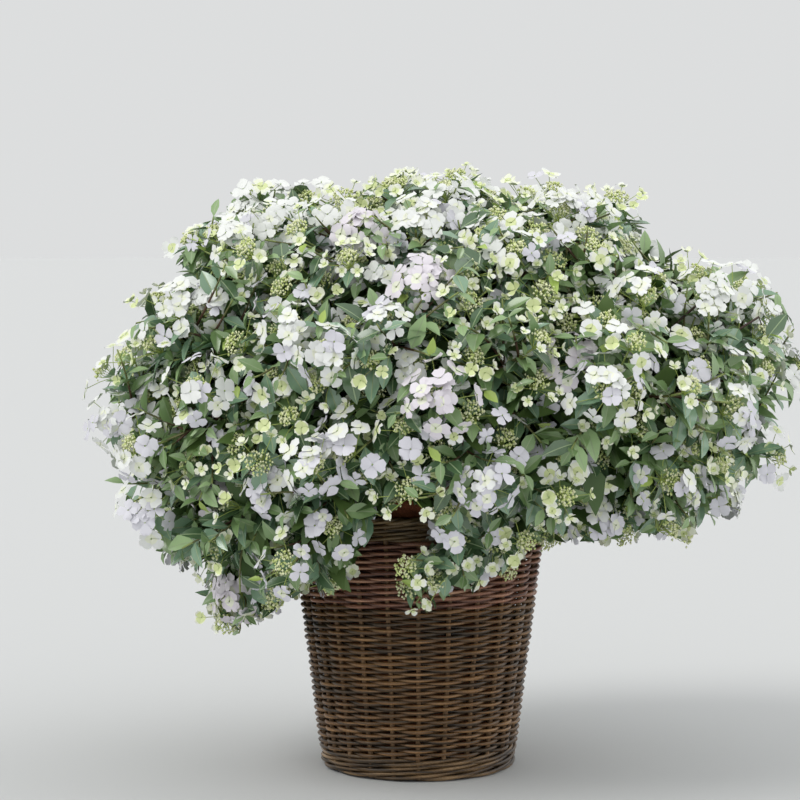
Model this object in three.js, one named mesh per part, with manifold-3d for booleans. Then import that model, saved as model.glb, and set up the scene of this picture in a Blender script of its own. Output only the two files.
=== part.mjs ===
// A garland hydrangea in flower, growing in a clay pot that stands inside a tall tapered willow basket.
// Millimetres, +Z up. The origin is the centre of the basket's underside, the front of the plant faces -Y.
// The basket and pot are turned shapes. The stool carries one arching bough for each mass of foliage, and
// each mass is one stem that forks into leafy twigs, every twig ending in a flat flower head.
import * as THREE from "three";
import { mergeVertices } from "three/addons/utils/BufferGeometryUtils.js";
import Module from "manifold-3d";

const wasm = await Module();
wasm.setup();

// Basket
const BASKET_HEIGHT = 435;
const BASKET_TOP_R = 211;
const BASKET_FOOT_R = 156;
const BASKET_WALL = 12;
const BASKET_FLOOR = 12;
const STAKES = 24;
const RIB_PROUD = 2.6;
const RIB_END = 3;
const FOOT_WALE_HEIGHT = 46;
const FOOT_WALE_THICK = 5;
const RIM_WALE_HEIGHT = 40;
const RIM_WALE_THICK = 5;

// Clay pot and its soil
const POT_HEIGHT = 448;
const POT_TOP_R = 186;
const POT_FOOT_R = 128;
const POT_WALL = 11;
const POT_LIP_HEIGHT = 42;
const POT_LIP_PROUD = 5;
const POT_LIP_EDGE = 3;
const SOIL_BELOW_LIP = 38;

// Clearance between pieces that touch in life
const SEAT = 0.3;
const SOIL_CLEAR = 0.6;
const PLANTER_CLEAR = 4;
const FOLIAGE_ABOVE_LIP = 6;
const FOLIAGE_OFF_BASKET = 14;

// Stool, the woody foot that the boughs spring from
const STOOL_R = 52;
const STOOL_HEIGHT = 58;
const STOOL_FLARE = 14;
const STOOL_SIDES = 16;

// Crown: its heart, and its reach from there at sixteen even steps, seen from the front,
// anticlockwise from the right
const HEART = new THREE.Vector3(30, 0, 600);
const FRONT_REACH = [622, 596, 474, 402, 394, 390, 496, 528, 583, 562, 515, 392, 352, 318, 350, 512];
const DEPTH_REACH = 520;
const BACK_SHARE = 0.96;

// Tiers of masses: how many, their height as an angle from the heart, and the turn of the first one
const TIERS = [
  { name: "top", count: 3, lift: 66, turn: 35, leave: 84, root: 0.24 },
  { name: "upper", count: 6, lift: 34, turn: 8, leave: 66, root: 0.5 },
  { name: "middle", count: 8, lift: 6, turn: 0, leave: 46, root: 0.8 },
  { name: "skirt", count: 7, lift: -25, turn: -70, leave: 26, root: 1 },
];
const MASS_CENTRE = 0.68;
const BOUGH_END = 0.43;
const CELL_MARGIN = 1.2;
const ROOM_STEP = 3;
const ENVELOPE_SHARE = 0.985;

// Boughs
const BOUGH_BASE_R = 8;
const BOUGH_TIP_R = 4.5;
const BOUGH_SIDES = 4;
const BOUGH_STEPS = 5;
const BOUGH_ROOT_SPREAD = 0.72;
const BOUGH_ROOT_TOP = 0.9;
const BOUGH_BEND = 0.55;
const BOUGH_ARCH = 30;
const BOUGH_CLEAR = 1;

// Twigs, leaves and flower heads
const STEM_R = 4.2;
const STEM_BEND = 30;
const TWIG_R = 3;
const TWIG_TIP_R = 1.8;
const TWIG_MOST = 400;
const TWIG_SPREAD = 58;
const TWIG_SPREAD_VARIES = 14;
const TWIG_TURN_VARIES = 0.3;
const TWIGS = 5;
const CORE_SHARE = 0.74;
const CORE_MOST = 145;
const CORE_UNEVEN = 0.34;
const CORE_LEAST = 12;
const CORE_LEAVES = 12;
const FACET_STRIDE = 11;
const LEAF_LENGTH = 112;
const LEAF_WIDTH = 56;
const LEAF_THICK = 3.4;
const LEAF_FOLD = 7;
const LEAF_WIDEST = 0.42;
const LEAF_SIZE_LEAST = 0.85;
const LEAF_SIZE_VARIES = 0.3;
const LEAF_BELOW_HEAD = 30;
const LEAF_LEAN = 50;
const LEAF_SUNK = 7;
const LEAF_BACKWARD = -0.4;
const LEAF_LEAST_FACET = 700;
const LEAF_SCALES = [1, 0.82, 0.66];
const HEAD_RADII = [60, 50, 41, 33];
const HEAD_FROM_EDGE = 6;
const HEAD_STEP_BACK = 9;
const HEAD_RETREAT = 0.4;
const HEAD_MARGIN = 10;
const HEAD_FACES_UP = 0.35;
const HEAD_THICK = 9;
const HEAD_LOBES = 5;
const HEAD_NOTCH = 0.76;
const HEAD_DROOP = 0.4;
const HEAD_LOW_POINT_OFF = 0.25;

const BARK = new THREE.MeshStandardMaterial({ color: 0x5a3f2b, roughness: 0.85, metalness: 0 });
const FOLIAGE = new THREE.MeshStandardMaterial({ color: 0x5f7a52, roughness: 0.55, metalness: 0 });
const WILLOW = new THREE.MeshStandardMaterial({ color: 0x5b4128, roughness: 0.7, metalness: 0 });
const RED_WILLOW = new THREE.MeshStandardMaterial({ color: 0x4a2a20, roughness: 0.7, metalness: 0 });
const CLAY = new THREE.MeshStandardMaterial({ color: 0x9a5431, roughness: 0.85, metalness: 0 });
const SOIL = new THREE.MeshStandardMaterial({ color: 0x2b211a, roughness: 1, metalness: 0 });

const up = new THREE.Vector3(0, 0, 1);
const radians = THREE.MathUtils.degToRad;

// A small seeded generator, so that each build draws the same numbers
function seeded(seed) {
  let state = seed >>> 0;
  return () => {
    state = (state + 0x6d2b79f5) >>> 0;
    let t = state;
    t = Math.imul(t ^ (t >>> 15), t | 1);
    t ^= t + Math.imul(t ^ (t >>> 7), t | 61);
    return ((t ^ (t >>> 14)) >>> 0) / 4294967296;
  };
}

function solidOf(geometry) {
  const bare = geometry.clone();
  bare.deleteAttribute("normal");
  bare.deleteAttribute("uv");
  const merged = mergeVertices(bare, 1e-3);
  return new wasm.Manifold(
    new wasm.Mesh({
      numProp: 3,
      vertProperties: new Float32Array(merged.attributes.position.array),
      triVerts: new Uint32Array(merged.index.array),
    }),
  );
}

function geometryOf(solid) {
  const mesh = solid.getMesh();
  const places = new Float32Array(mesh.numVert * 3);
  for (let i = 0; i < mesh.numVert; i++) {
    places.set(mesh.vertProperties.subarray(i * mesh.numProp, i * mesh.numProp + 3), i * 3);
  }
  const geometry = new THREE.BufferGeometry();
  geometry.setAttribute("position", new THREE.BufferAttribute(places, 3));
  geometry.setIndex(new THREE.BufferAttribute(new Uint32Array(mesh.triVerts), 1));
  geometry.computeVertexNormals();
  return geometry;
}

// The largest connected body of a solid, with sealed hollows filled and loose scraps dropped
function mainBody(solid) {
  return solid.decompose().reduce((a, b) => (b.volume() > a.volume() ? b : a));
}

function solidFromPoints(points, faces) {
  const geometry = new THREE.BufferGeometry();
  geometry.setFromPoints(points);
  geometry.setIndex(faces.flat());
  const solid = solidOf(geometry);
  if (solid.volume() > 0) return solid;
  geometry.setIndex(faces.flatMap(([a, b, c]) => [a, c, b]));
  return solidOf(geometry);
}

// A tapering limb along a curve: rings of a few sides on the curve's own frames, closed by flat ends
function limb(curve, baseR, tipR, sides, steps) {
  const frames = curve.computeFrenetFrames(steps, false);
  const points = [];
  const faces = [];
  for (let i = 0; i <= steps; i++) {
    const share = i / steps;
    const centre = curve.getPointAt(share);
    const r = THREE.MathUtils.lerp(baseR, tipR, share);
    for (let s = 0; s < sides; s++) {
      const turn = (2 * Math.PI * s) / sides;
      points.push(
        centre
          .clone()
          .addScaledVector(frames.normals[i], r * Math.cos(turn))
          .addScaledVector(frames.binormals[i], r * Math.sin(turn)),
      );
    }
  }
  for (let i = 0; i < steps; i++) {
    for (let s = 0; s < sides; s++) {
      const a = i * sides + s;
      const b = i * sides + ((s + 1) % sides);
      faces.push([a, b, b + sides], [a, b + sides, a + sides]);
    }
  }
  for (let s = 1; s < sides - 1; s++) {
    faces.push([0, s + 1, s]);
    const last = steps * sides;
    faces.push([last, last + s, last + s + 1]);
  }
  return solidFromPoints(points, faces);
}

// A profile of radius and height turned about Z; it runs up the outside and back down the inside
function turnedGeometry(profile, segments) {
  const outline = profile.map(([r, z]) => new THREE.Vector2(r, z));
  return new THREE.LatheGeometry(outline, segments).rotateX(Math.PI / 2);
}

function lathe(profile, segments) {
  return solidOf(turnedGeometry(profile, segments));
}

const group = new THREE.Group();
function addPiece(name, solid, material) {
  const mesh = new THREE.Mesh(geometryOf(solid), material);
  mesh.name = name;
  group.add(mesh);
}

// Basket wall: a low rib stands at each stake, where the rods bend out round it, and the face between two
// ribs is straight
function basketRadius(z) {
  return THREE.MathUtils.lerp(BASKET_FOOT_R, BASKET_TOP_R, z / BASKET_HEIGHT);
}

function basketWall() {
  const low = FOOT_WALE_HEIGHT;
  const high = BASKET_HEIGHT - RIM_WALE_HEIGHT;
  const heights = [0, low, low + RIB_END, high - RIB_END, high, BASKET_HEIGHT];
  const turned = turnedGeometry(
    [
      [0, 0],
      ...heights.map((z) => [basketRadius(z), z]),
      [BASKET_TOP_R - BASKET_WALL, BASKET_HEIGHT],
      [basketRadius(BASKET_FLOOR) - BASKET_WALL, BASKET_FLOOR],
      [0, BASKET_FLOOR],
    ],
    2 * STAKES,
  );
  const place = turned.attributes.position;
  for (let i = 0; i < place.count; i++) {
    const [x, y, z] = [place.getX(i), place.getY(i), place.getZ(i)];
    const r = Math.hypot(x, y);
    if (r < basketRadius(z) - BASKET_WALL / 2) continue;
    const spoke = Math.round((Math.atan2(y, x) / Math.PI) * STAKES);
    const ribbed = z > low + RIB_END / 2 && z < high - RIB_END / 2;
    const share = spoke % 2 ? Math.cos(Math.PI / STAKES) : 1 + (ribbed ? RIB_PROUD / r : 0);
    place.setXY(i, x * share, y * share);
  }
  return solidOf(turned);
}

// A woven border around the wall: two rounded rods high, clear of the wall inside it
function wale(low, high, thick) {
  const inner = (z) => basketRadius(z) + SEAT;
  const middle = (low + high) / 2;
  const bulge = thick / 2;
  const quarter = (high - low) / 4;
  return lathe(
    [
      [inner(low), low],
      [inner(low) + bulge, low],
      [inner(low) + thick, low + quarter],
      [inner(middle) + bulge, middle],
      [inner(middle) + thick, high - quarter],
      [inner(high) + bulge, high],
      [inner(high), high],
      [inner(low), low],
    ],
    STAKES,
  );
}

// Clay pot: a tapered wall with a thicker lip, standing on the basket's floor
const potFloor = BASKET_FLOOR + SEAT;
const lipBottom = potFloor + POT_HEIGHT - POT_LIP_HEIGHT;
const lipTop = potFloor + POT_HEIGHT;
const soilTop = lipTop - SOIL_BELOW_LIP;

function potInnerRadius(z) {
  return THREE.MathUtils.lerp(POT_FOOT_R, POT_TOP_R, (z - potFloor) / POT_HEIGHT) - POT_WALL;
}

function clayPot() {
  const outer = (z) => potInnerRadius(z) + POT_WALL;
  return lathe(
    [
      [0, potFloor],
      [POT_FOOT_R, potFloor],
      [outer(lipBottom), lipBottom],
      [outer(lipBottom) + POT_LIP_PROUD, lipBottom + POT_LIP_EDGE],
      [POT_TOP_R + POT_LIP_PROUD, lipTop - POT_LIP_EDGE],
      [POT_TOP_R + POT_LIP_PROUD - POT_LIP_EDGE, lipTop],
      [POT_TOP_R - POT_WALL, lipTop],
      [potInnerRadius(potFloor + POT_WALL), potFloor + POT_WALL],
      [0, potFloor + POT_WALL],
    ],
    STAKES,
  );
}

function soilPlug() {
  const low = potFloor + POT_WALL + SEAT;
  return lathe(
    [
      [0, low],
      [potInnerRadius(low) - SOIL_CLEAR, low],
      [potInnerRadius(soilTop) - SOIL_CLEAR, soilTop],
      [0, soilTop],
    ],
    STAKES,
  );
}

// Stool: flares out where it meets the soil and closes in a low dome; its rings are shares of its
// radius and height
function stool(grow) {
  const foot = soilTop + SEAT;
  return lathe(
    [
      [0, foot - grow],
      [STOOL_R + STOOL_FLARE + grow, foot - grow],
      [STOOL_R + grow, foot + grow + STOOL_HEIGHT * 0.28],
      [STOOL_R * 0.86 + grow, foot + grow + STOOL_HEIGHT * 0.6],
      [STOOL_R * 0.55 + grow, foot + grow + STOOL_HEIGHT * 0.88],
      [0, foot + grow + STOOL_HEIGHT],
    ],
    STOOL_SIDES,
  );
}

// Crown: the reach along a direction blends the front outline with the depth
function frontReach(angle) {
  const steps = FRONT_REACH.length;
  const place = ((angle / (2 * Math.PI)) * steps + 2 * steps) % steps;
  const low = Math.floor(place);
  const share = place - low;
  const soft = share * share * (3 - 2 * share);
  return THREE.MathUtils.lerp(FRONT_REACH[low % steps], FRONT_REACH[(low + 1) % steps], soft);
}

function reachAlong(direction) {
  const flat = Math.hypot(direction.x, direction.z);
  const front = frontReach(Math.atan2(direction.z, direction.x));
  const depth = DEPTH_REACH * (direction.y > 0 ? BACK_SHARE : 1);
  return 1 / Math.hypot(flat / front, direction.y / depth);
}

function fromHeart(direction, share) {
  return HEART.clone().addScaledVector(direction, reachAlong(direction) * share);
}

// A direction from its turn about Z and its lift above level, both in radians
function pointing(turn, lift) {
  return new THREE.Vector3(Math.cos(lift) * Math.cos(turn), Math.cos(lift) * Math.sin(turn), Math.sin(lift));
}

const masses = [];
TIERS.forEach((tier) => {
  for (let i = 0; i < tier.count; i++) {
    const turn = radians(tier.turn + (360 * i) / tier.count);
    const lift = radians(tier.lift);
    const out = pointing(turn, lift);
    masses.push({
      name: `${tier.name}_${i + 1}`,
      tier,
      out,
      centre: fromHeart(out, MASS_CENTRE),
      boughEnd: fromHeart(out, BOUGH_END),
      random: seeded(1000 + masses.length),
    });
  }
});

function clearOfPlanter(p) {
  if (p.z > lipTop + FOLIAGE_ABOVE_LIP) return true;
  const height = THREE.MathUtils.clamp(p.z, 0, BASKET_HEIGHT);
  return Math.hypot(p.x, p.y) > basketRadius(height) + FOLIAGE_OFF_BASKET;
}

// A mass owns the points nearest its own centre, inside the crown's reach and clear of the planter
function insideCell(mass, p, margin, share) {
  const own = p.distanceToSquared(mass.centre);
  for (const other of masses) {
    if (other === mass) continue;
    const gap = (p.distanceToSquared(other.centre) - own) / (2 * mass.centre.distanceTo(other.centre));
    if (gap < margin) return false;
  }
  const arm = p.clone().sub(HEART);
  const far = arm.length();
  if (far > reachAlong(arm.normalize()) * share) return false;
  return clearOfPlanter(p);
}

// How far a straight line from a mass's centre can go inside its own space
function roomAlong(mass, direction, margin, most) {
  let room = 0;
  while (room < most) {
    const next = mass.centre.clone().addScaledVector(direction, room + ROOM_STEP);
    if (!insideCell(mass, next, margin, ENVELOPE_SHARE)) break;
    room += ROOM_STEP;
  }
  return room;
}

// A bough starts inside the stool, the lower tiers further out and lower down, and arches to its mass
function boughCurve(mass) {
  const turn = Math.atan2(mass.boughEnd.y, mass.boughEnd.x);
  const leave = radians(mass.tier.leave);
  const start = pointing(turn, 0).multiplyScalar(STOOL_R * BOUGH_ROOT_SPREAD * mass.tier.root);
  start.z = soilTop + STOOL_HEIGHT * (BOUGH_ROOT_TOP - BOUGH_ROOT_SPREAD * mass.tier.root);
  const span = start.distanceTo(mass.boughEnd);
  const bend = start.clone().addScaledVector(pointing(turn, leave), span * BOUGH_BEND);
  bend.z += BOUGH_ARCH * Math.cos(leave);
  return new THREE.QuadraticBezierCurve3(start, bend, mass.boughEnd.clone());
}

// Each bough is cut back to where it seats on the stool
const stoolSolid = stool(0);
const stoolGrown = stool(SEAT);
masses.forEach((mass) => {
  mass.curve = boughCurve(mass);
  mass.bough = mainBody(
    limb(mass.curve, BOUGH_BASE_R, BOUGH_TIP_R, BOUGH_SIDES, BOUGH_STEPS).subtract(stoolGrown),
  );
  const [baseR, tipR] = [BOUGH_BASE_R + BOUGH_CLEAR, BOUGH_TIP_R + BOUGH_CLEAR];
  mass.boughGrown = limb(mass.curve, baseR, tipR, BOUGH_SIDES, BOUGH_STEPS);
});

// Everything that foliage keeps clear of: the stool, the boughs and the outside of basket and pot
const planterGrown = lathe(
  [
    [0, -PLANTER_CLEAR],
    [BASKET_FOOT_R + FOOT_WALE_THICK + PLANTER_CLEAR, -PLANTER_CLEAR],
    [BASKET_TOP_R + RIM_WALE_THICK + PLANTER_CLEAR, BASKET_HEIGHT + PLANTER_CLEAR],
    [POT_TOP_R + POT_LIP_PROUD + PLANTER_CLEAR, lipTop + PLANTER_CLEAR],
    [0, lipTop + PLANTER_CLEAR],
  ],
  STAKES,
);
const keptClear = masses.reduce((all, mass) => all.add(mass.boughGrown), stoolGrown.add(planterGrown));

// A leaf: a blade of eight faces, folded up from its midrib, widest a little short of the middle
function leaf(root, direction, face, length, width) {
  const across = new THREE.Vector3().crossVectors(direction, face).normalize();
  const normal = new THREE.Vector3().crossVectors(across, direction).normalize();
  const at = (along, side, rise) =>
    root
      .clone()
      .addScaledVector(direction, along * length)
      .addScaledVector(across, side)
      .addScaledVector(normal, rise);
  const points = [
    at(0, 0, 0),
    at(LEAF_WIDEST, -width / 2, LEAF_FOLD),
    at(1, 0, -LEAF_FOLD),
    at(LEAF_WIDEST, width / 2, LEAF_FOLD),
    at(LEAF_WIDEST, 0, LEAF_THICK / 2),
    at(LEAF_WIDEST, 0, -LEAF_THICK / 2),
  ];
  const faces = [];
  for (let i = 0; i < 4; i++) {
    const next = (i + 1) % 4;
    faces.push([4, i, next], [5, next, i]);
  }
  return { points: points.slice(0, 4), solid: solidFromPoints(points, faces) };
}

// A level direction square to an axis, or the right-hand one where the axis is upright
function sideOf(axis) {
  const level = new THREE.Vector3().crossVectors(axis, up);
  return level.length() < 0.05 ? new THREE.Vector3(1, 0, 0) : level.normalize();
}

// A flower head: a shallow dome with one lobe for each large floret around its edge. The low point of
// its underside is off its axis, clear of the twig
function flowerHead(centre, axis, radius, spin) {
  const side = sideOf(axis);
  const other = new THREE.Vector3().crossVectors(axis, side).normalize();
  const points = [];
  const count = 2 * HEAD_LOBES;
  for (let i = 0; i < count; i++) {
    const r = radius * (i % 2 ? HEAD_NOTCH : 1);
    const turn = spin + (2 * Math.PI * i) / count;
    points.push(
      centre
        .clone()
        .addScaledVector(side, r * Math.cos(turn))
        .addScaledVector(other, r * Math.sin(turn))
        .addScaledVector(axis, -HEAD_THICK * HEAD_DROOP),
    );
  }
  points.push(centre.clone().addScaledVector(axis, HEAD_THICK));
  const low = centre.clone().addScaledVector(axis, -HEAD_THICK);
  points.push(low.addScaledVector(side, radius * HEAD_LOW_POINT_OFF));
  const faces = [];
  for (let i = 0; i < count; i++) {
    const next = (i + 1) % count;
    faces.push([count, i, next], [count + 1, next, i]);
  }
  return { points: points.slice(0, count), solid: solidFromPoints(points, faces) };
}

// The core: a faceted body that fills a share of the mass's own space, a little unevenly
function core(mass) {
  const ball = new THREE.DodecahedronGeometry(1, 0);
  ball.deleteAttribute("uv");
  ball.deleteAttribute("normal");
  const shell = mergeVertices(ball, 1e-3);
  const place = shell.attributes.position;
  const corners = [];
  for (let i = 0; i < place.count; i++) {
    const direction = new THREE.Vector3().fromBufferAttribute(place, i).normalize();
    const room = roomAlong(mass, direction, CELL_MARGIN, CORE_MOST / CORE_SHARE);
    const uneven = 1 + CORE_UNEVEN * (mass.random() - 0.5);
    const reach = Math.max(room * CORE_SHARE * uneven, CORE_LEAST);
    corners.push(mass.centre.clone().addScaledVector(direction, reach));
    place.setXYZ(i, ...corners[i]);
  }
  const index = shell.index.array;
  mass.facets = [];
  for (let i = 0; i < index.length; i += 3) {
    mass.facets.push(new THREE.Triangle(corners[index[i]], corners[index[i + 1]], corners[index[i + 2]]));
  }
  return solidOf(shell);
}

// The directions of a mass's twigs: one straight out, the others leaning evenly round it
function twigDirections(mass, count) {
  const side = sideOf(mass.out);
  const other = new THREE.Vector3().crossVectors(mass.out, side);
  const first = mass.random() * 2 * Math.PI;
  const directions = [mass.out.clone()];
  for (let i = 1; i < count; i++) {
    const turn = first + (2 * Math.PI * (i + TWIG_TURN_VARIES * (mass.random() - 0.5))) / (count - 1);
    const lean = radians(TWIG_SPREAD + TWIG_SPREAD_VARIES * (mass.random() - 0.5));
    directions.push(
      mass.out
        .clone()
        .multiplyScalar(Math.cos(lean))
        .addScaledVector(side, Math.sin(lean) * Math.cos(turn))
        .addScaledVector(other, Math.sin(lean) * Math.sin(turn))
        .normalize(),
    );
  }
  return directions;
}

// A direction tilted from a first one toward a second by an angle
function leaning(direction, sideways, lean) {
  return direction
    .clone()
    .multiplyScalar(Math.cos(radians(lean)))
    .addScaledVector(sideways, Math.sin(radians(lean)))
    .normalize();
}

// Whether a piece of foliage keeps to its mass's own space and clear of limbs and earlier foliage
function fits(mass, piece) {
  if (!piece.points.every((p) => insideCell(mass, p, CELL_MARGIN, 1))) return false;
  if (!piece.solid.intersect(keptClear).isEmpty()) return false;
  return mass.spread.every((other) => piece.solid.intersect(other).isEmpty());
}

// The largest leaf of the three scales that fits, if any
function leafThatFits(mass, root, along, face) {
  const size = LEAF_SIZE_LEAST + LEAF_SIZE_VARIES * mass.random();
  const blades = LEAF_SCALES.map((shrink) => {
    return leaf(root, along, face, LEAF_LENGTH * size * shrink, LEAF_WIDTH * size * shrink);
  });
  return blades.find((blade) => fits(mass, blade));
}

// A twig ends in the largest flower head that fits, as far out as it fits, over a pair of leaves
function addTwig(mass, direction) {
  const room = roomAlong(mass, direction, HEAD_MARGIN, TWIG_MOST);
  const facing = direction.clone().lerp(up, HEAD_FACES_UP).normalize();
  const spin = mass.random() * Math.PI;
  let reach = room;
  let head;
  for (let back = HEAD_FROM_EDGE; !head && back < room * HEAD_RETREAT; back += HEAD_STEP_BACK) {
    reach = room - back;
    const tip = mass.centre.clone().addScaledVector(direction, reach);
    head = HEAD_RADII.map((radius) => flowerHead(tip, facing, radius, spin)).find((h) => fits(mass, h));
  }
  if (!head) return;
  const tip = mass.centre.clone().addScaledVector(direction, reach);
  mass.kept.push(limb(new THREE.LineCurve3(mass.centre.clone(), tip), TWIG_R, TWIG_TIP_R, 3, 1), head.solid);
  mass.spread.push(head.solid);
  const root = mass.centre.clone().addScaledVector(direction, reach - LEAF_BELOW_HEAD);
  const side = sideOf(direction);
  const turn = mass.random() * Math.PI;
  const pair = [0, Math.PI]
    .map((half) => side.clone().applyAxisAngle(direction, turn + half))
    .map((sideways) => leafThatFits(mass, root, leaning(direction, sideways, LEAF_LEAN), direction))
    .filter((blade) => blade);
  mass.spread.push(...pair.map((blade) => blade.solid));
  mass.kept.push(...pair.map((blade) => blade.solid));
}

// Leaves that stand out of the middles of the core's facets, between the twigs
function addCoreLeaves(mass) {
  let left = CORE_LEAVES;
  for (let i = 0; i < mass.facets.length && left > 0; i++) {
    const facet = mass.facets[(i * FACET_STRIDE) % mass.facets.length];
    const normal = facet.getNormal(new THREE.Vector3());
    if (normal.dot(mass.out) < LEAF_BACKWARD || facet.getArea() < LEAF_LEAST_FACET) continue;
    const root = facet.getMidpoint(new THREE.Vector3()).addScaledVector(normal, -LEAF_SUNK);
    const sideways = sideOf(normal).applyAxisAngle(normal, mass.random() * 2 * Math.PI);
    const blade = leafThatFits(mass, root, leaning(normal, sideways, LEAF_LEAN), normal);
    if (!blade) continue;
    mass.spread.push(blade.solid);
    mass.kept.push(blade.solid);
    left--;
  }
}

function growMass(mass) {
  const endTangent = mass.curve.getTangentAt(1);
  const stemStart = mass.boughEnd.clone().addScaledVector(endTangent, SEAT);
  const stemBend = stemStart.clone().addScaledVector(endTangent, STEM_BEND);
  const stem = new THREE.QuadraticBezierCurve3(stemStart, stemBend, mass.centre.clone());
  mass.kept = [limb(stem, STEM_R, TWIG_R, 4, 3), mainBody(core(mass).subtract(keptClear))];
  mass.spread = [];
  twigDirections(mass, TWIGS).forEach((direction) => addTwig(mass, direction));
  addCoreLeaves(mass);
  return mainBody(wasm.Manifold.union(mass.kept));
}

addPiece("basket_wall", basketWall(), WILLOW);
addPiece("basket_foot_wale", wale(0, FOOT_WALE_HEIGHT, FOOT_WALE_THICK), WILLOW);
addPiece("basket_rim_wale", wale(BASKET_HEIGHT - RIM_WALE_HEIGHT, BASKET_HEIGHT, RIM_WALE_THICK), RED_WILLOW);
addPiece("clay_pot", clayPot(), CLAY);
addPiece("soil", soilPlug(), SOIL);
addPiece("stool", stoolSolid, BARK);
masses.forEach((mass) => {
  addPiece(`bough_${mass.name}`, mass.bough, BARK);
  addPiece(`foliage_${mass.name}`, growMass(mass), FOLIAGE);
});

export default group;
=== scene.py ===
import math

import bpy
import numpy as np
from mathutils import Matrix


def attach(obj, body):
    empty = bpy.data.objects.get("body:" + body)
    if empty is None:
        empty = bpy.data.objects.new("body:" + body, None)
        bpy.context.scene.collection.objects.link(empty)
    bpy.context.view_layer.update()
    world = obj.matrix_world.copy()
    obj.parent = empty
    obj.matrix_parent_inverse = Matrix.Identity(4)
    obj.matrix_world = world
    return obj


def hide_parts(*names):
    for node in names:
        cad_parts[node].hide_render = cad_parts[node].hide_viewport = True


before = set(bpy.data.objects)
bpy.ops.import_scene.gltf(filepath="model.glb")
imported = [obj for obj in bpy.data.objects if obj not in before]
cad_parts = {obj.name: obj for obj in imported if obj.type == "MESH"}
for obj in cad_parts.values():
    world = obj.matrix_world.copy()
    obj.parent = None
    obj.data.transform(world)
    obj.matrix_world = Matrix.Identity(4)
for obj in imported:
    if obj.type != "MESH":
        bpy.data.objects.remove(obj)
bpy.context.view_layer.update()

# Viewpoint
# A long lens at chest height, four and a half metres in front of the plant, tipped a little down so that
# the whole crown and the basket's foot are in the picture.
LENS = 121.5
SENSOR_WIDTH = 36.0
VIEW_END = 200.0
VIEWPOINT = (-0.030, -4.46, 0.938)
LOOK_DOWN = 4.24

lens = bpy.data.cameras.new("viewpoint")
lens.lens = LENS
lens.sensor_width = SENSOR_WIDTH
lens.clip_end = VIEW_END
viewpoint = bpy.data.objects.new("viewpoint", lens)
viewpoint.location = VIEWPOINT
viewpoint.rotation_euler = (math.radians(90 - LOOK_DOWN), 0, 0)
bpy.context.scene.collection.objects.link(viewpoint)
bpy.context.scene.camera = viewpoint

# Basket side
# Twenty-four willow stakes stand round the basket. Single rods, thinner than a pencil, go in front of one
# stake and behind the next; the rods of the next row do the opposite, and all are beaten down tight.
BASKET_HEIGHT = 0.435
BASKET_TOP_R = 0.211
BASKET_FOOT_R = 0.156
BASKET_SLOPE = (BASKET_TOP_R - BASKET_FOOT_R) / BASKET_HEIGHT
STAKES = 24
STEPS_BETWEEN_STAKES = 6
WEAVE_DEPTH = 0.0035
WEAVE_SWING = 0.0060
WEAVE_SLOPE = 0.0007
WEAVE_LOW = 0.0375
WEAVE_CHANGE = 0.285
WEAVE_HIGH = 0.396
ROW_RISE = 0.0054
ROW_WAVES = (2, 3, 5, 12)
ROW_WANDER = 0.00022
ROD_R = 0.0033
ROD_SIDES = 6
ROD_UNEVEN = 0.07
SWING_UNEVEN = 0.1
FINE_SHARE = 0.4
COLOURS_FROM = 0.38
COLOURS_OVER = 0.24
# Painted shade and dust: willow is darkest where it lies this far behind the basket's side.
DUST_AND_SHADE_FROM = -0.0075
WEAVE_GRAIN = {"stretch": (7, 7, 210), "fine": 900, "roughness": (0.30, 0.52), "relief": 0.5, "depth": 0.0005}


def basket_radius(z):
    """Radius of the basket's side at a height: a straight line from the foot's radius to the rim's."""
    return BASKET_FOOT_R + (BASKET_TOP_R - BASKET_FOOT_R) * np.asarray(z) / BASKET_HEIGHT


def unit(v):
    """Each vector divided by its own length."""
    return v / np.maximum(np.linalg.norm(v, axis=-1, keepdims=True), 1e-12)


def turns(count):
    """So many even turns about an axis, from 0 on."""
    return np.arange(count) * 2 * np.pi / count


def about_axis(r, turn, z):
    """Points at a radius, a turn about the upright axis and a height: (r x cos, r x sin, z)."""
    return np.stack(np.broadcast_arrays(r * np.cos(turn), r * np.sin(turn), z), axis=-1)


def quads_on(at, order=(0, 1, 2, 3)):
    """Four-sided faces on grids of point numbers, rows by columns: each point, the next in its row, the one
    beside that in the next row, and the one before it there, taken in the order given."""
    corners = (at[..., :-1, :-1], at[..., :-1, 1:], at[..., 1:, 1:], at[..., 1:, :-1])
    return np.stack([corners[k] for k in order], axis=-1)


def rods(paths, radii, sides, closed=False, capped=False):
    """Round rods along many paths at once: paths is (rods, stations, 3), radii is (rods, stations). A
    station's direction is the difference of its neighbours. Its ring stands square to that, each point at
    cos(angle) along a first cross direction plus sin(angle) along a second. A closed rod joins its ends."""
    count, stations = paths.shape[:2]
    if closed:
        ahead = unit(np.roll(paths, -1, axis=1) - np.roll(paths, 1, axis=1))
        steady = np.broadcast_to([0.0, 0.0, 1.0], (count, 1, 3))
    else:
        ahead = unit(np.gradient(paths, axis=1))
        steady = np.eye(3)[np.abs(ahead.mean(axis=1)).argmin(axis=1)][:, None]
    first = unit(np.cross(ahead, steady))
    second = np.cross(ahead, first)
    angle = turns(sides)[:, None]
    ring = np.cos(angle) * first[:, :, None] + np.sin(angle) * second[:, :, None]
    points = paths[:, :, None] + radii[:, :, None, None] * ring
    at = np.arange(count * stations * sides).reshape(count, stations, sides)
    joined = at.take(range(stations + int(closed)), axis=1, mode="wrap")
    joined = joined.take(range(sides + 1), axis=2, mode="wrap")
    faces = [quads_on(joined).reshape(-1, 4)]
    if capped:
        faces.append(np.concatenate([at[:, 0, ::-1], at[:, -1]]))
    return points.reshape(-1, 3), *faces


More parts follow.
